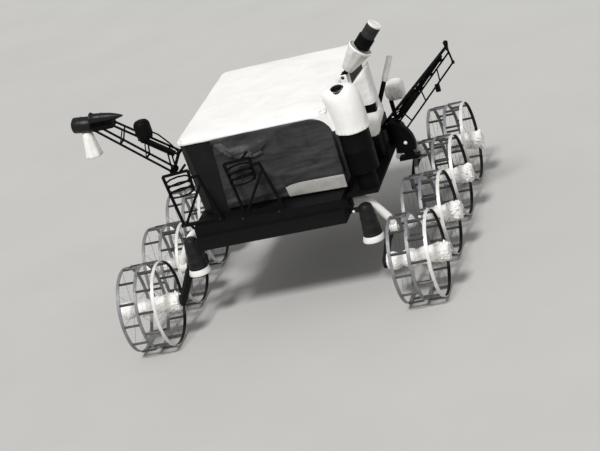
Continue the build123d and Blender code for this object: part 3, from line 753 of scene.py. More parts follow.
    def hub(self, seed: float) -> Piece:
        """Model the wrapped hub: bulges between ties, fine pleats and a frayed frill at its big end.

        Args:
            seed: Where in the noise to read, so that two hubs differ.

        Returns:
            The hub wrap, with its simulation applied.
        """
        stations = [self.hub_profile[0]]
        for (x0, r0), (x1, r1) in zip(self.hub_profile, self.hub_profile[1:]):
            steps = max(1, round(math.hypot(x1 - x0, r1 - r0) / self.hub_ring))
            stations += [(x0 + (x1 - x0) * i / steps, r0 + (r1 - r0) * i / steps) for i in range(1, steps + 1)]
        obj = Bench.turned("hub_wrap", stations, ORIGIN, TO_RIGHT, 64, angle=75)

        def pleat(point: Vector, normal: Vector) -> Vector:
            """Pleat the cloth near its ties and swell it between them."""
            radial = Vector((0, point.y, point.z))
            if radial.length < self.hub_core:
                return Vector()
            angle = math.atan2(point.y, point.z)
            way = Vector((math.sin(angle), math.cos(angle), seed))
            near_tie = max(bell(point.x - tie, self.tie_width) for tie in self.hub_ties)
            waver = 4 * noise.noise(Vector((point.x * 20, seed, 0)))
            pleats = self.pleat_depth * near_tie * math.sin(self.pleats * angle + waver)
            lumps = self.lump_depth * noise.noise(Vector((point.x * 24, way.x * 1.7 + seed, way.y * 1.7)))
            folds = self.fold_depth * noise.noise(Vector((point.x * 60 + seed, way.x * 4.5, way.y * 4.5)))
            return radial.normalized() * (pleats + lumps + folds)

        def held(at: Vector) -> bool:
            """Tell whether a tie or an end holds the cloth at a point."""
            ties = (*self.hub_ties, -self.hub_half, self.hub_half)
            return min(abs(at.x - tie) for tie in ties) < self.tie_grip

        def fray(point: Vector, normal: Vector) -> Vector:
            """Pull ragged tufts of cloth out near the big end."""
            share = 0.25 + 0.75 * clamp((point.x - self.fray_from) / self.fray_over)
            share *= clamp((self.hub_half + 0.0005 - point.x) / 0.006)
            at = Vector((point.x * 46, point.y * 80 + seed, point.z * 80))
            spike = max(0.0, noise.noise(at) + 0.5 * noise.noise(at * 2.3) - 0.10)
            return normal * self.fray_length * share * spike
        Bench.move(obj, pleat)
        Bench.inflated(obj, pressure=2.0, cap=0.006, voxel=0.005, grow=0.05, held=held)
        Bench.smooth(obj)
        Bench.move(obj, fray)
        return Bench.settle(obj, "hub_wrap", 75, weld=False)

    def place_all(self) -> None:
        """Build one wheel of each kind and set a copy at every axle."""
        kinds = {"hoops": (self.hoops(), HOOP_METAL), "lugs": (self.treads(), LUG_METAL),
                 # the bright hoop's near-white colour is painted light
                 "bright_hoop": (self.band(self.hoop_pitch, "wheel_bright_hoop"), HOOP_BRIGHT),
                 # the dark band inside the bright hoop is painted shade
                 "hoop_shade_band": (self.shade_band(), HOOP_SHADE), "wires": (self.wires(), WIRE)}
        hubs = [self.hub(seed) for seed in self.hub_seeds]
        for side in ("left", "right"):
            for i in range(1, 5):
                body, rim, hub_node = f"wheel_{side}_{i}", f"rim_{side}_{i}", f"hub_{side}_{i}"
                at = Matrix.Translation(middle(rim))
                for kind, (piece, finish) in kinds.items():
                    stands_for = [rim] if kind == "hoops" else []
                    dress(Bench.copied(piece, f"{kind}_{side}_{i}", at), finish, body, *stands_for)
                turned = at @ Matrix.Rotation(self.hub_turn * i, 4, "X")
                wrap = dress(Bench.copied(hubs[i % 2], f"hub_wrap_{side}_{i}", turned), WRAP, body, hub_node)
        for spare in (*(piece for piece, _ in kinds.values()), *hubs):
            bpy.data.objects.remove(spare)


@dataclass
class RunningGear:
    """Bogie beams, arched tubes, spring canisters and their skirts."""

    arch_radius: float = 0.024
    arch_path: tuple = ((0.0, 0.205), (0.24, 0.206), (0.47, 0.190), (0.64, 0.148), (0.86, 0.082), (1.0, 0.036),
                        (1.0, 0.0))
    pivot_y: float = 0.56667
    pivot_z: float = 0.340
    boss_radius: float = 0.033
    canister_x: tuple = (0.484, -0.574)
    canister_y: float = 0.64167
    bracket_z: tuple = (0.504, 0.524)
    bracket_half: float = 0.020
    bolt_circle: float = 0.024
    bolt_in: float = 0.066       # how far inside a canister its bracket's bolt sits
    pivot_in: float = 0.026      # how far inside the arches' outer faces the pivots sit
    collar: tuple = mm(0, 31, 9, 31, 11, 27, 16, 26, 18, 24.5)
    canister: tuple = mm(352, 50, 354, 55.5, 366, 55.5, 368, 53.5, 395, 51.5, 398, 53, 406, 52.5, 409, 50.5, 450,
                         47.5, 453, 49, 461, 48.5, 464, 46.5, 500, 43, 526, 39.5, 536, 33, 542, 24, 542, 10)
    skirt: tuple = mm(352, 46, 353, 56, 348, 59, 336, 63, 325, 66.5, 320, 66, 321, 61, 334, 57, 344, 52, 346, 30)

    def arch(self, inner_x: float, outer_x: float, y: float) -> Piece:
        """Model one arched tube from the side beam out and down to the pivot."""
        points = [(inner_x + (outer_x - inner_x) * share, y, self.pivot_z + rise) for share, rise in self.arch_path]
        return Bench.tube("arch", points, self.arch_radius, 24)

    def pivot(self, x: float, y: float, facing: Vector) -> Piece:
        """Model the round boss at the foot of an arch."""
        r = self.boss_radius
        stations = [(-0.025, r - 0.003), (-0.022, r), (0.018, r), (0.022, r - 0.003), (0.022, r - 0.016),
                    (0.026, r - 0.018), (0.026, 0.006)]
        return Bench.turned("pivot", stations, Vector((x, y, self.pivot_z)), facing, 36)

    def build(self) -> None:
        """Build the running gear at its four corners."""
        low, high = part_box("bogie_arches")
        beam_low, beam_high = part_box("side_beams")
        arches, collars, cans, skirts = [], [], [], []
        right, left = self.canister_x
        for side, word, x, inner, can_x in ((1, "right", high.x - self.pivot_in, beam_high.x, right),
                                            (-1, "left", low.x + self.pivot_in, beam_low.x, left)):
            facing = Vector((side, 0, 0))
            bolts = []
            for end in (-1, 1):
                y, can_y = end * self.pivot_y, end * self.canister_y
                can_at = Vector((can_x, can_y, 0))
                collar_at = Vector((inner, y, self.pivot_z + self.arch_path[0][1]))
                arches += [self.arch(inner, x, y), self.pivot(x, y, facing)]
                collars.append(Bench.turned("arch_collar", self.collar, collar_at, facing, 36))
                bracket_low = (min(inner, can_x), can_y - self.bracket_half, self.bracket_z[0])
                bracket_high = (max(inner, can_x), can_y + self.bracket_half, self.bracket_z[1])
                cans += [Bench.turned("canister", self.canister, can_at, UP, 48),
                         Bench.block("bracket", bracket_low, bracket_high)]
                skirts.append(Bench.turned("skirt", self.skirt, can_at, UP, 48))
                for angle in (math.pi / 3 * step for step in range(6)):
                    bolts.append((x + side * 0.022, y + self.bolt_circle * math.cos(angle),
                                  self.pivot_z + self.bolt_circle * math.sin(angle)))
            dress(Bench.studs(f"pivot_bolts_{word}", bolts, facing, radius=0.0035, height=0.005), GREY, "chassis")
        heads_y, heads_z = -self.canister_y - self.bracket_half, sum(self.bracket_z) / 2
        heads = [(x, heads_y, heads_z) for x in (right - self.bolt_in, left + self.bolt_in)]
        dress(Bench.studs("bracket_bolts_near", heads, TO_NEAR, radius=0.0085, height=0.007), WHITE, "chassis")
        dress(Bench.joined("arch_tubes", arches), WHITE, "chassis", "bogie_arches")
        dress(Bench.joined("arch_collars", collars), GREY, "chassis")
        # the canisters' near-black colour is painted shade
        dress(Bench.joined("canister_shells", cans), SHADED_CANISTER_GREY, "chassis", "spring_canisters")
        dress(Bench.joined("skirt_flares", skirts), WHITE, "chassis", "canister_skirts")
        paint("bogie_beams", DARK)


@dataclass
class Body:
    """Chassis, tub, cloth cover, film panel and its strip."""

    cell: float = 0.022
    beam_bolts: int = 12
    bolt_margin: float = 0.05
    bolt_z: float = 0.540
    cover_hem: float = 0.006
    rim_drop: float = 0.016
    crown_drop: float = 0.006
    rim_tuck: float = 0.010
    corner_from: tuple = (0.86, 0.90)    # where the cover's corners start, as shares of its half width and length
    corner_flat: float = 0.085
    corner_pull: float = 0.7
    film_cell: float = 0.014
    crease_out: float = 0.0075
    fine_crease_out: float = 0.0026
    swell_out: float = 0.008
    fold_rise: float = 0.020
    fold_fade: tuple = (0.046, 0.014)    # how far the film is pushed out above and below the fold
    panel_cut: tuple = (0.116, 0.100)
    panel_left: tuple = (-0.300, -0.280)
    fold_line: tuple = ((-0.256, 1.062), (-0.205, 1.008), (-0.157, 0.968), (-0.065, 0.957), (-0.010, 0.975))
    fold_radius: float = 0.024
    fold_out: float = 0.016
    strip_rise: float = 0.009
    strip_sag: float = 0.009
    strip_slant: float = 0.034
    strip_tip: float = 0.020
    flap_end: tuple = (0.437, -0.590)

    def chassis(self) -> None:
        """Paint the chassis and set the bolts along its side beams."""
        for node in ("side_beams", "cross_members", "belly_box"):
            paint(node, DARK)
        low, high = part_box("side_beams")
        first, run = low.y + self.bolt_margin, high.y - low.y - 2 * self.bolt_margin
        for side, x, facing in (("right", high.x, TO_RIGHT), ("left", low.x, TO_LEFT)):
            rows = [(x, first + run * i / (self.beam_bolts - 1), self.bolt_z) for i in range(self.beam_bolts)]
            dress(Bench.studs(f"beam_bolts_{side}", rows, facing, radius=0.007, height=0.005), DARK, "chassis")
        paint("tub", TUB_COAT)

    def cover(self) -> None:
        """Model the cloth cover: taut over the tub, rounded at its corners, with a flap at the near right one."""
        low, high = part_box("top_cover")
        obj = Bench.gridded("cover_cloth", (low.x, low.y, low.z - self.cover_hem), high, self.cell)
        half, centre = (high - low) / 2, (high + low) / 2

        def shape(point: Vector, normal: Vector) -> Vector:
            """Round the corners, drop the rim and crown the top."""
            u, v = (point.x - centre.x) / half.x, (point.y - centre.y) / half.y
            past_x, past_y = abs(u) - self.corner_from[0], abs(v) - self.corner_from[1]
            corner = max(0.0, past_x) * half.x + max(0.0, past_y) * half.y
            pull = max(0.0, corner - self.corner_flat) * self.corner_pull
            edge = max(abs(u) ** 6, abs(v) ** 8)
            rise = (point.z - low.z) / (high.z - low.z)
            above = max(0.0, rise)
            drop = -self.rim_drop * edge * above - self.crown_drop * (1 - (1 - u * u) * (1 - v * v))
            inward = Vector((-math.copysign(pull, u), -math.copysign(pull, v), 0))
            tuck = Vector((-u, -v, 0)) * self.rim_tuck * above * edge
            return inward + tuck + Vector((0, 0, drop if rise > 0.3 else 0))
        Bench.move(obj, shape)
        Bench.smooth(obj)
        Bench.wrinkle(obj, amount=0.0035, size=0.16, seed=2.0, stretch=(1.6, 1.0, 1.0), ridges=0.25)
        Bench.wrinkle(obj, amount=0.0012, size=0.045, seed=7.0, ridges=0.3)
        Bench.settle(obj, "cover_cloth", 60)
        obj = Bench.joined("cover_cloth", [obj, self.corner_flap(low, high)], 60)
        dress(obj, COVER, "chassis", "top_cover")

    def cut_depth(self, x: float, right: float) -> float:
        """Return how far the panel's rounded corner lies below its top edge at one x."""
        share = clamp((x - right + self.panel_cut[0]) / self.panel_cut[0])
        return self.panel_cut[1] * (1 - math.sqrt(1 - share * share))

    def corner_flap(self, low: Vector, high: Vector) -> Piece:
        """Model the cover's flap that hangs at its near right corner, from the panel's cut across to the pod."""
        Bench.clear()
        bpy.ops.mesh.primitive_grid_add(x_subdivisions=44, y_subdivisions=12, size=1, location=(0, 0, 0))
        flap = bpy.context.object
        panel_low, panel_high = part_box("front_panel")
        cut_x, cut_z = panel_high.x - self.panel_cut[0], panel_high.z
        path = [Vector((cut_x - 0.010, low.y + 0.004)), Vector((high.x - 0.040, low.y + 0.003)),
                Vector((high.x - 0.006, low.y + 0.006)),
                Vector((high.x + 0.008, low.y + 0.014)), Vector(self.flap_end)]
        runs = [(b - a).length for a, b in zip(path, path[1:])]

        def hang(point: Vector, normal: Vector) -> Vector:
            """Lay the grid along the corner and cut its foot to the panel."""
            way = (point.x + 0.5) * sum(runs)
            step = 0
            while step < len(runs) - 1 and way > runs[step]:
                way -= runs[step]
                step += 1
            at = path[step] + (path[step + 1] - path[step]) * (way / runs[step])
            foot = cut_z - self.cut_depth(at.x, panel_high.x) - 0.003
            head = low.z + 0.006 + 0.034 * clamp((at.x - high.x - 0.004) / 0.020)
            z = foot + (head - foot) * (point.y + 0.5)
            return Vector((at.x, at.y, z)) - point
        Bench.move(flap, hang)
        Bench.smooth(flap)
        Bench.modify(flap, "SOLIDIFY", thickness=0.003, offset=0.0)
        Bench.wrinkle(flap, amount=0.0018, size=0.05, seed=4.0, stretch=(1, 1, 2.2), ridges=0.3)
        return Bench.settle(flap, "cover_corner_flap", 60)

    def panel(self) -> None:
        """Model the crinkled film over the near face, with its turned edge."""
        low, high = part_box("front_panel")
        face_y = low.y
        left_foot, left_top = self.panel_left
        path = [Vector(at) for at in self.fold_line]
        obj = Bench.gridded("panel_film", low, (high.x, face_y + 0.010, high.z), self.film_cell)

        def shape(point: Vector, normal: Vector) -> Vector:
            """Slant the left side and round the upper right corner off."""
            rise = (point.z - low.z) / (high.z - low.z)
            left = left_foot + (left_top - left_foot) * rise
            x = left + (high.x - left) * ((point.x - low.x) / (high.x - low.x))
            return Vector((x - point.x, 0, -self.cut_depth(x, high.x) * rise))

        def crinkle(point: Vector, normal: Vector) -> Vector:
            """Push the film out in long slanting creases, and under its fold."""
            if point.y > face_y + 0.005:
                return Vector()
            at = Vector((point.x * 3.0 + point.z * 1.2, 1.3, point.z * 15 - point.x * 1.2))
            broad = 1 - 2.2 * abs(noise.noise(at))
            fine = 1 - 2.2 * abs(noise.noise(at * 2.3 + Vector((4, 4, 4))))
            swell = noise.noise(Vector((point.x * 3.4, 3.7, point.z * 5)))
            fold = 0.0
            for start, end in zip(path, path[1:]):
                run, to = end - start, Vector((point.x, point.z)) - start
                off = to - run * clamp(to.dot(run) / run.length_squared)
                fold = max(fold, bell(off.length, self.fold_fade[0 if off.y - off.x * 0.5 > 0 else 1]))
            creases = self.crease_out * broad + self.fine_crease_out * fine
            return Vector((0, -creases - self.swell_out * swell - self.fold_rise * fold, 0))
        Bench.move(obj, shape)
        Bench.smooth(obj)
        Bench.move(obj, crinkle)
        edge_top = high.z - self.panel_cut[1]
        edge = Bench.gridded("panel_edge", (high.x - 0.008, face_y + 0.009, low.z), (high.x, high.y, edge_top),
                             self.film_cell)
        Bench.wrinkle(edge, amount=0.0025, size=0.05, seed=3.0, stretch=(1, 1, 1.6), ridges=0.5)
        self.fold(face_y - self.fold_out)
        piece = Bench.joined("panel_film", [obj, edge], 50)
        dress(piece, DARK_FILM, "chassis", "front_panel")
        self.strip()

    def fold(self, y: float) -> None:
        """Model the film's rolled fold, flattened unevenly."""
        roll = Bench.tube("panel_fold", [(x, y, z) for x, z in self.fold_line], self.fold_radius, 20)

        def slacken(point: Vector, normal: Vector) -> Vector:
            """Press the fold flat and let it sag here and there."""
            flat = Vector((0, (y - point.y) * 0.62, 0))
            return flat + normal * 0.007 * noise.noise(point * 17) + Vector((0, 0, 0.006 * noise.noise(point * 30)))
        Bench.move(roll, slacken)
        # the fold's lighter film is painted light
        dress(roll, LIT_FILM, "chassis")

    def strip(self) -> None:
        """Model the pale strip of film along the panel's foot."""
        low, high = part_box("panel_strip")
        strip = Bench.gridded("strip_film", low, high, 0.009)

        def taper(point: Vector, normal: Vector) -> Vector:
            """Raise the strip's left end, let its right end sag and slant its tip."""
            along = (point.x - low.x) / (high.x - low.x)
            rise = (point.z - low.z) / (high.z - low.z)
            lift = self.strip_rise * (1 - along) * rise - self.strip_sag * along * (1 - rise)
            tip = self.strip_tip * max(0.0, 1 - 12 * along) * rise
            return Vector((self.strip_slant * (1 - along) * (1 - rise) + tip, 0, lift - 0.4 * tip))
        Bench.move(strip, taper)
        Bench.smooth(strip)
        Bench.wrinkle(strip, amount=0.0035, size=0.07, seed=9.0, stretch=(2.6, 1, 1), ridges=0.4)
        Bench.settle(strip, "strip_film", 50)
        dress(strip, PALE_FILM, "chassis", "panel_strip")

    def build(self) -> None:
        """Build the whole body."""
        self.chassis()
        self.cover()
        self.panel()


@dataclass
class NearEnd:
    """The two lattice stands and the left boom."""

    boom_y: float = -0.655
    drive_share: float = 0.54            # the drive tube's length as a share of the rails
    drive_start: float = 0.08
    drive_below: float = 0.024
    drive_radii: tuple = (0.0150, 0.0178, 0.0200)
    lid_profile: tuple = mm(0, 10, 0, 30, -3, 32, -5, 30, -5, 10)
    seat_z: tuple = (1.3245, 1.3535)
    seat_half: float = 0.014
    rail_ends: tuple = ((-0.465, -0.655, 1.066), (-0.790, -0.655, 1.318))
    dome_profile: tuple = mm(-5, 30, -5, 40.5, 24, 48.5, 30, 49.5, 36, 49, 82, 47.5, 94, 42, 102, 34, 105.5, 24,
                             106.5, 8)
    drum_ends: tuple = ((-1.020, 1.350), (-0.907, 1.336))
    horn_ends: tuple = ((-0.911, 1.366), (-0.711, 1.348))
    drum_profile: tuple = mm(0, 12, 0, 39, 3, 43, 8, 45.5, 44, 46, 46, 47.5, 53, 47.5, 55, 46, 104, 46, 110, 43, 112,
                             30, 112, 12)
    horn_profile: tuple = mm(0, 26, 0, 35, 3, 38, 11, 38, 14, 35, 20, 31, 62, 29, 64, 30.5, 71, 30.2, 73, 28.5, 96,
                             27, 124, 23.5, 152, 17.5, 188, 6.8, 196, 3)
    sleeve_profile: tuple = mm(4, 20, 0, 26, -14, 31, -45, 34.5, -85, 40, -120, 46, -138, 49, -147, 48, -148, 44,
                               -130, 41, -85, 36, -45, 30, -20, 25)

    def stands(self) -> None:
        """Paint the stands and set bolts on their feet."""
        for node in ("lattice_stand_left", "lattice_stand_near"):
            paint(node, DARK)
            low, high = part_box(node)
            y = low.y - 0.0005 if node.endswith("near") else high.y - 0.0925
            places = [(x, y, low.z + 0.008) for x in (low.x + 0.045, high.x - 0.02)]
            dress(Bench.studs(f"{node}_bolts", places, TO_NEAR, radius=0.006, height=0.005), GREY, "chassis")

    def boom(self) -> None:
        """Finish the left boom: its lattice, its head, its drives and its sleeve."""
        paint("left_boom", BLACK)
        ends = (*self.drum_ends, *self.horn_ends)
        drum_at, drum_end, horn_at, horn_end = (Vector((x, self.boom_y, z)) for x, z in ends)
        drum = Bench.turned("head_drum", self.drum_profile, drum_at, drum_end - drum_at, 56)
        horn = Bench.turned("head_horn", self.horn_profile, horn_at, horn_end - horn_at, 48)
        seat = Bench.block("head_seat", (drum_end.x - 0.001, self.boom_y - self.seat_half, self.seat_z[0]),
                           (self.rail_ends[1][0], self.boom_y + self.seat_half, self.seat_z[1]))
        dress(Bench.joined("boom_head_shell", [drum, horn, seat]), CHALKED, "left_boom_arm", "boom_head")
        lid = Bench.turned("head_lid", self.lid_profile, drum_at, drum_end - drum_at, 40)
        dress(lid, GREY, "left_boom_arm")
        root, tip = (Vector(end) for end in self.rail_ends)
        run = tip - root
        dome = Bench.turned("drive_dome", self.dome_profile, root + run * 0.5, UP, 48)
        n = run.length * self.drive_share
        end, r, ring = self.drive_radii
        stations = [(0.0, end), (0.002, r), (0.020, r), (0.022, ring), (0.034, ring), (0.036, r)]
        stations += [(n - 0.036, r), (n - 0.034, ring), (n - 0.020, ring), (n - 0.018, r), (n, end)]
        drive = Bench.turned("drive_tube", stations, root + run * self.drive_start - UP * self.drive_below, run, 32)
        dress(Bench.joined("drive_units", [dome, drive]), BLACK, "left_boom_arm")
        self.sleeve()

    def sleeve(self) -> None:
        """Hang the pale cloth sleeve under the head drum."""
        low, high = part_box("hanging_sleeve")
        axis = (low + high) / 2
        start = Vector((axis.x, axis.y, self.drum_ends[1][1] - 0.039))
        obj = Bench.turned("sleeve_cloth", self.sleeve_profile, start, UP, 64, angle=70)

        def folds(point: Vector, normal: Vector) -> Vector:
            """Gather the sleeve into folds that open downwards."""
            fall = clamp((high.z - point.z) / (high.z - low.z))
            angle, radial = around(point, axis)
            gather = 0.0022 * fall * math.sin(7 * angle + 2 * noise.noise(point * 9))
            return radial * (gather + 0.0025 * noise.noise(point * 24))
        Bench.move(obj, folds)
        dress(obj, WRAP, "left_boom_arm", "hanging_sleeve")

    def build(self) -> None:
        """Build the near end."""
        self.stands()
        self.boom()


@dataclass
class RightSide:
    """Shelf, pod, housing, mast with camera, strut, wrapped box and right boom."""

    can_profile: tuple = mm(606, 56, 608, 58, 692, 58, 704, 70, 710, 84, 718, 87.5, 836, 87.5, 839, 89.5, 849, 89.5,
                            852, 87.5, 962, 87.5)
    cap_profile: tuple = mm(962, 86, 956, 91, 955, 96, 960, 98.5, 970, 97.5, 990, 96.5, 1020, 98, 1060, 100, 1100,
                            99.8, 1135, 99.2, 1160, 97.2, 1184, 92, 1201, 83, 1212, 70, 1218, 52, 1221, 24)
    cap_lean: float = 0.030
    cap_lean_from: float = 1.075
    cap_lean_over: float = 0.115
    cap_hem_z: float = 0.966
    cap_crown_z: float = 1.215
    cap_gathers: int = 21
    cap_gather: float = 0.0012
    window_base: tuple = (0.503, -0.586, 1.195)
    window_facing: tuple = (0.0, -31.0, 95.0)
    window_radius: float = 0.033
    housing_top: tuple = (1.060, 1.166)
    housing_foot: float = 0.704
    housing_waist: float = 0.860
    housing_notch: tuple = (0.066, 0.054, 0.896, 0.948)
    cone_profile: tuple = mm(40, 16, 40, 29, 45, 34.5, 80, 43.5, 120, 53.5, 160, 62.5, 186, 68.5, 192, 70, 196, 69,
                             195, 62, 188, 50, 186, 13)
    camera_base: float = 0.203
    cone_core: float = 0.016             # the cone's ends stay flat inside this radius
    hem_profile: tuple = mm(186, 68, 186, 70.5, 189, 72.8, 197, 73.2, 200, 71.2, 199, 66, 192, 64)
    knuckle_seat_top: float = 1.090
    knuckle_cheek: float = 0.010
    strut_inset: tuple = (0.0182, 0.0094)
    shaft_ends: tuple = ((0.610, 0.170, 0.725), (0.960, 0.170, 1.045))
    shaft_radius: float = 0.014
    motor_radius: float = 0.025
    collar_shares: tuple = (0.22, 0.46, 0.70, 0.92)
    shell_profile: tuple = mm(-58, 11, 0, 11.5, 0, 44, 3, 48, 6, 49, 28, 49, 30, 47.8, 34, 47.8, 36, 49, 72, 49, 75.5,
                              46.5, 75.5, 30)
    barrel_profile: tuple = mm(73, 30, 73, 43, 108, 43, 110, 42, 114, 42, 116, 43, 148, 43, 152, 40.5, 152, 20)
    disc_profile: tuple = mm(152, 30, 152, 40.5, 154, 42.5, 164, 42.5, 166, 41, 166, 35, 164.5, 34, 164.5, 4)

    def pod(self) -> None:
        """Model the pod: dark can, white cap with a frilled hem and a round window."""
        low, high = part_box("pod_can")
        axis = Vector(((low.x + high.x) / 2, (low.y + high.y) / 2, 0))
        can = Bench.turned("pod_shell", self.can_profile, axis, UP, 56)
        dress(can, BLACK, "chassis", "pod_can")
        cap = Bench.turned("pod_cap_cloth", self.cap_profile, axis, UP, 96, angle=75)

        def soften(point: Vector, normal: Vector) -> Vector:
            """Ruck the cloth, gather its hem and lean its top towards the tub."""
            angle, radial = around(point, axis)
            hem = bell(point.z - self.cap_hem_z, 0.022)
            crown = clamp((self.cap_crown_z - point.z) / 0.03)
            at = Vector((math.sin(angle) * 1.8, math.cos(angle) * 1.8, point.z * 10))
            slump = 0.0045 * noise.noise(at) + 0.0020 * noise.noise(at * 3.1)
            side = 0.7 - 0.3 * math.cos(angle)
            lean = self.cap_lean * side * clamp((point.z - self.cap_lean_from) / self.cap_lean_over) ** 1.2
            gather = self.cap_gather * hem * math.sin(self.cap_gathers * angle)
            return radial * (gather + crown * slump) - TO_RIGHT * lean
        Bench.move(cap, soften)
        Bench.smooth(cap)
        base, facing, r = Vector(self.window_base), Vector(self.window_facing).normalized(), self.window_radius
        Bench.carve(cap, Bench.turned("window_cutter", [(0.0, r), (0.08, r)], base, facing, 48))
        Bench.settle(cap, "pod_cap_cloth", 50)
        dress(cap, COVER, "chassis", "pod_cap")
        section = [(0.002, r - 0.001), (0.021, r - 0.001), (0.024, r + 0.002), (0.023, r + 0.006), (0.017, r + 0.011),
                   (0.013, r + 0.011), (0.013, r + 0.002)]
        dress(Bench.turned("window_ring", section, base, facing, 56, capped=False), GREY, "chassis")
        pane = [(0.0, r - 0.0005), (0.004, r - 0.0005), (0.0075, r * 0.7), (0.009, r * 0.25)]
        dress(Bench.turned("pod_window", pane, base, facing, 48), LENS, "chassis")

    def housing(self) -> None:
        """Model the upright padded housing with its slot, its dark foot and its lining."""
        low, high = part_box("side_housing")
        foot_z = self.housing_foot
        obj = Bench.gridded("housing_film", (low.x, low.y, foot_z), high, 0.013)
        centre = (low + high) / 2
        wide, deep, slot_low, slot_high = self.housing_notch
        top_left, top_right = self.housing_top

        def shape(point: Vector, normal: Vector) -> Vector:
            """Slope the top down towards the tub and let the padding swell."""
            share = (point.x - low.x) / (high.x - low.x)
            top = top_left + (top_right - top_left) * share
            z = foot_z + (point.z - foot_z) / (high.z - foot_z) * (top - foot_z)
            u, v = (point.x - centre.x) / (high.x - centre.x), (point.y - centre.y) / (high.y - centre.y)
            corner = max(0.0, abs(u) + abs(v) - 1.55) * 0.020
            below = bell(z - slot_low + 0.035, 0.045)
            swell = 0.016 * below * max(0.0, u) * (1 - 0.5 * abs(v))
            tuck = max(0.0, (self.housing_waist - z) / (self.housing_waist - foot_z)) ** 1.3
            x = point.x - math.copysign(corner, u) + swell - 0.060 * tuck * max(0.0, u)
            y = point.y - math.copysign(corner, v) - 0.008 * below * max(0.0, -v) - 0.030 * tuck * v
            return Vector((x, y, z)) - point
        Bench.move(obj, shape)
        Bench.smooth(obj)
        Bench.wrinkle(obj, amount=0.0045, size=0.085, seed=5.0, stretch=(1, 1, 1.5), ridges=0.35)
        Bench.wrinkle(obj, amount=0.0015, size=0.028, seed=8.0, stretch=(1, 1, 1.3), ridges=0.5)
        notch_low, notch_high = (high.x - wide, low.y - 0.05, slot_low), (high.x + 0.05, low.y + deep, slot_high)
        Bench.carve(obj, Bench.block("notch_cutter", notch_low, notch_high, bevel=0.004))
        Bench.settle(obj, "housing_film", 45)
        dress(obj, HOUSING_FILM, "chassis", "side_housing")
        foot = Bench.block("housing_pedestal", (low.x + 0.004, low.y + 0.014, low.z),
                           (high.x - 0.034, high.y - 0.014, foot_z + 0.045), bevel=0.008, segments=3)
        dress(foot, DARK, "chassis")
        lining = Bench.block("notch_lining", (high.x - wide + 0.001, low.y + 0.006, slot_low + 0.001),
                             (high.x - 0.006, low.y + deep - 0.001, slot_high - 0.001))
        dress(lining, BLACK, "chassis")

    def mast(self) -> None:
        """Model the mast: knuckle, cloth cone, camera drum and disc."""
        joint = next(j for j in frame["joints"] if j["name"] == "camera_turn")
        root, along = Vector(joint["pos_m"]), Vector(joint["axis"]).normalized()
        self.knuckle()
        paint("mast_root", DARK)
        cone = Bench.turned("mast_cone_cloth", self.cone_profile, root, along, 72, angle=60)

        def folds(point: Vector, normal: Vector) -> Vector:
            """Let soft folds run up the cone."""
            up = (point - root).dot(along)
            flat = point - root - along * up
            if flat.length < self.cone_core:
                return Vector()
            angle = math.atan2(flat.y, flat.dot(along.cross(Vector((0, 1, 0)))))
            ripple = 0.0018 * math.sin(9 * angle) * min(1.0, up / 0.15)
            return flat.normalized() * (ripple + 0.0022 * noise.noise(point * 26))
        Bench.move(cone, folds)
        # the cone's greyer cloth is painted shade
        dress(cone, CONE_CLOTH, "mast", "mast_cone")
        hem = Bench.turned("mast_cone_hem", self.hem_profile, root, along, 72, capped=False)
        dress(hem, COVER, "mast")
        base = root + along * self.camera_base
        for name, profile, finish, nodes in (("camera_shell", self.shell_profile, BLACK, ["camera_drum"]),
                                             ("camera_barrel", self.barrel_profile, GREY, []),
                                             ("camera_plate", self.disc_profile, WHITE, ["camera_disc"])):
            dress(Bench.turned(name, profile, base, along, 56), finish, "camera", *nodes)

    def knuckle(self) -> None:
        """Wrap the mast's knuckle and its two cheeks in cloth."""
        low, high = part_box("mast_knuckle")
        top, cheek = self.knuckle_seat_top, self.knuckle_cheek
        parts = [Bench.gridded("knuckle_seat", low, (high.x, high.y, top), 0.009)]
        for y in (low.y, high.y - cheek):
            parts.append(Bench.gridded("knuckle_cheek", (low.x, y, top - 0.008), (high.x, y + cheek, high.z), 0.009))
        for seed, part in enumerate(parts):
            Bench.smooth(part)
            Bench.wrinkle(part, amount=0.0016, size=0.022, seed=2.0 + seed, ridges=0.3)
        piece = dress(Bench.joined("knuckle_cloth", parts, 60), COVER, "chassis", "mast_knuckle")
        pins = [((low.x + high.x) / 2 - 0.005, low.y + 0.001, 1.128)]
        dress(Bench.studs("knuckle_pin", pins, TO_NEAR, radius=0.010, height=0.007), GREY, "chassis")

    def strut_wrap(self) -> None:
        """Model the cloth sleeve on the leaning strut, gathered in three bulges."""
        low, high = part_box("strut_sleeve")
        y, (inset_x, inset_z) = (low.y + high.y) / 2, self.strut_inset
        start, end = Vector((low.x + inset_x, y, low.z + inset_z)), Vector((high.x - inset_x, y, high.z - inset_z))
        run = end - start
        n = run.length
        stations = [(-0.002, 0.0145), (0.002, 0.0170), (0.012, 0.0190), (n * 0.3, 0.0170), (n * 0.55, 0.0190),
                    (n * 0.8, 0.0165), (n - 0.008, 0.0190), (n, 0.0160), (n + 0.004, 0.006)]
        sleeve = Bench.turned("strut_cloth", stations, start, run, 40, angle=70)
        Bench.wrinkle(sleeve, amount=0.002, size=0.03, seed=1.0)
        dress(sleeve, WRAP, "chassis", "strut_sleeve")

    def wrapped_box(self) -> None:
        """Model the small box in its crumpled wrap."""
        low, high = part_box("wrapped_box")
        wrapped = Bench.gridded("box_cloth", low, high, 0.016)
        centre, half = (low + high) / 2, (high - low) / 2

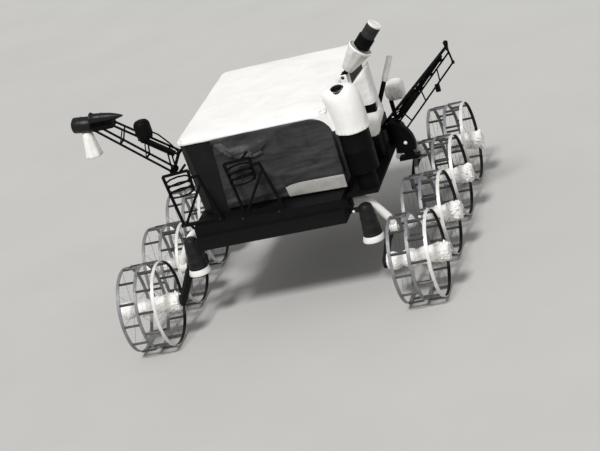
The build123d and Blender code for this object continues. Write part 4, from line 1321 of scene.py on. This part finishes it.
        def puff(point: Vector, normal: Vector) -> Vector:
            """Round the box's corners and pull its sides in between them."""
            offset = Vector([(point[i] - centre[i]) / half[i] for i in range(3)])
            round_off = max(0.0, offset.length - 1.05) * 0.42
            return -Vector([offset[i] * half[i] for i in range(3)]) * round_off
        Bench.move(wrapped, puff)
        Bench.inflated(wrapped, pressure=3.0, cap=0.012, voxel=0.006, grow=0.06)
        Bench.smooth(wrapped)
        Bench.wrinkle(wrapped, amount=0.009, size=0.060, seed=4.0, ridges=0.45)
        Bench.wrinkle(wrapped, amount=0.002, size=0.018, seed=6.0)
        Bench.settle(wrapped, "box_cloth", 70)
        dress(wrapped, WRAP, "chassis", "wrapped_box")

    def boom(self) -> None:
        """Finish the right boom and the gear case."""
        root, tip = (Vector(end) for end in self.shaft_ends)
        run = tip - root
        n, r, collar = run.length, self.shaft_radius, self.shaft_radius + 0.003
        stations = [(0.0, 0.008), (0.002, r), (n * 0.2, r)]
        for at in (n * share for share in self.collar_shares):
            stations += [(at, r), (at + 0.001, collar), (at + 0.016, collar), (at + 0.017, r)]
        shaft = Bench.turned("boom_shaft", [*stations, (n, 0.008)], root, run, 24)
        r = self.motor_radius
        stations = [(n * share, radius) for share, radius in (
            (0.10, 0.012), (0.105, r - 0.003), (0.115, r), (0.27, r), (0.272, r + 0.002), (0.29, r + 0.002),
            (0.292, r),
            (0.40, r), (0.41, r - 0.003), (0.44, r - 0.007), (0.445, 0.012))]
        motor = Bench.turned("boom_motor", stations, root, run, 32)
        dress(Bench.joined("boom_drive", [shaft, motor]), BLACK, "right_boom_arm")
        for node in ("right_boom", "boom_tip", "gear_case"):
            paint(node, BLACK)
        dress(Bench.studs("gear_bolt", [(0.640, 0.058, 0.602)], TO_NEAR, radius=0.011, height=0.009), WHITE,
              "chassis")

    def build(self) -> None:
        """Build the right side."""
        self.pod()
        self.housing()
        self.mast()
        for node in ("side_shelf", "strut", "box_post", "boom_pedestal"):
            paint(node, DARK)
        self.strut_wrap()
        self.wrapped_box()
        self.boom()


@dataclass
class Studio:
    """The camera at the photograph's angle, a plain floor and soft light."""

    eye: tuple = (3.249, -10.755, 4.366)
    look: tuple = (-0.2803, 0.8962, -0.3438)
    right: tuple = (0.942, 0.188, -0.2779)
    focal_px: float = 1991.0
    width_px: float = 600.0
    sensor_mm: float = 36.0
    sun_spread: float = 12.0             # the sun's width, in degrees
    floor_colour: str = "b9b8b5"
    sky_strength: float = 0.46
    sun_strength: float = 2.6
    sun_from: tuple = (-0.06, -0.74, 1.0)

    def camera(self) -> None:
        """Set the camera that was fitted to the photograph."""
        data = bpy.data.cameras.new("photo_camera")
        data.sensor_width = self.sensor_mm
        data.lens = self.focal_px / self.width_px * self.sensor_mm
        data.clip_end = 200.0
        obj = bpy.data.objects.new("photo_camera", data)
        bpy.context.scene.collection.objects.link(obj)
        back, right = -Vector(self.look).normalized(), Vector(self.right)
        right = (right - back * right.dot(back)).normalized()
        turn = Matrix((right, back.cross(right), back)).transposed().to_4x4()
        obj.matrix_world = Matrix.Translation(self.eye) @ turn
        bpy.context.scene.camera = obj

    def floor(self) -> None:
        """Lay the floor."""
        Bench.clear()
        bpy.ops.mesh.primitive_grid_add(x_subdivisions=8, y_subdivisions=8, size=80, location=(0, 0, -0.0005))
        obj = bpy.context.object
        obj.name = "studio_floor"
        material = bpy.data.materials.new("matt_floor")
        graph = Graph.start(material)
        cloud = graph.noise(graph.place(), 1.3, 3.0)
        tone = graph.blend(cloud, linear(self.floor_colour), linear("c2c1be"))
        graph.surface({"Base Color": tone, "Roughness": 0.9})
        obj.data.materials.append(material)

    def light(self) -> None:
        """Light the scene softly, mostly from above and from the near side."""
        scene = bpy.context.scene
        scene.view_settings.view_transform = "Standard"
        world = bpy.data.worlds.new("studio_sky")
        world.use_nodes = True
        sky = world.node_tree.nodes["Background"].inputs
        sky["Color"].default_value = (1.0, 1.0, 1.0, 1.0)
        sky["Strength"].default_value = self.sky_strength
        scene.world = world
        sun = bpy.data.lights.new("soft_sun", "SUN")
        sun.energy = self.sun_strength
        sun.angle = math.radians(self.sun_spread)
        obj = bpy.data.objects.new("soft_sun", sun)
        scene.collection.objects.link(obj)
        obj.rotation_mode = "QUATERNION"
        obj.rotation_quaternion = Vector(self.sun_from).to_track_quat("Z", "Y")

    def build(self) -> None:
        """Build the studio."""
        self.camera()
        self.floor()
        self.light()


def main() -> None:
    """Build every sub-assembly in order."""
    logging.basicConfig(level=logging.INFO, format="%(name)s %(message)s")
    for part in (Studio(), Body(), NearEnd(), RightSide(), RunningGear()):
        part.build()
    Wheel().place_all()


if __name__ == "__main__":
    main()
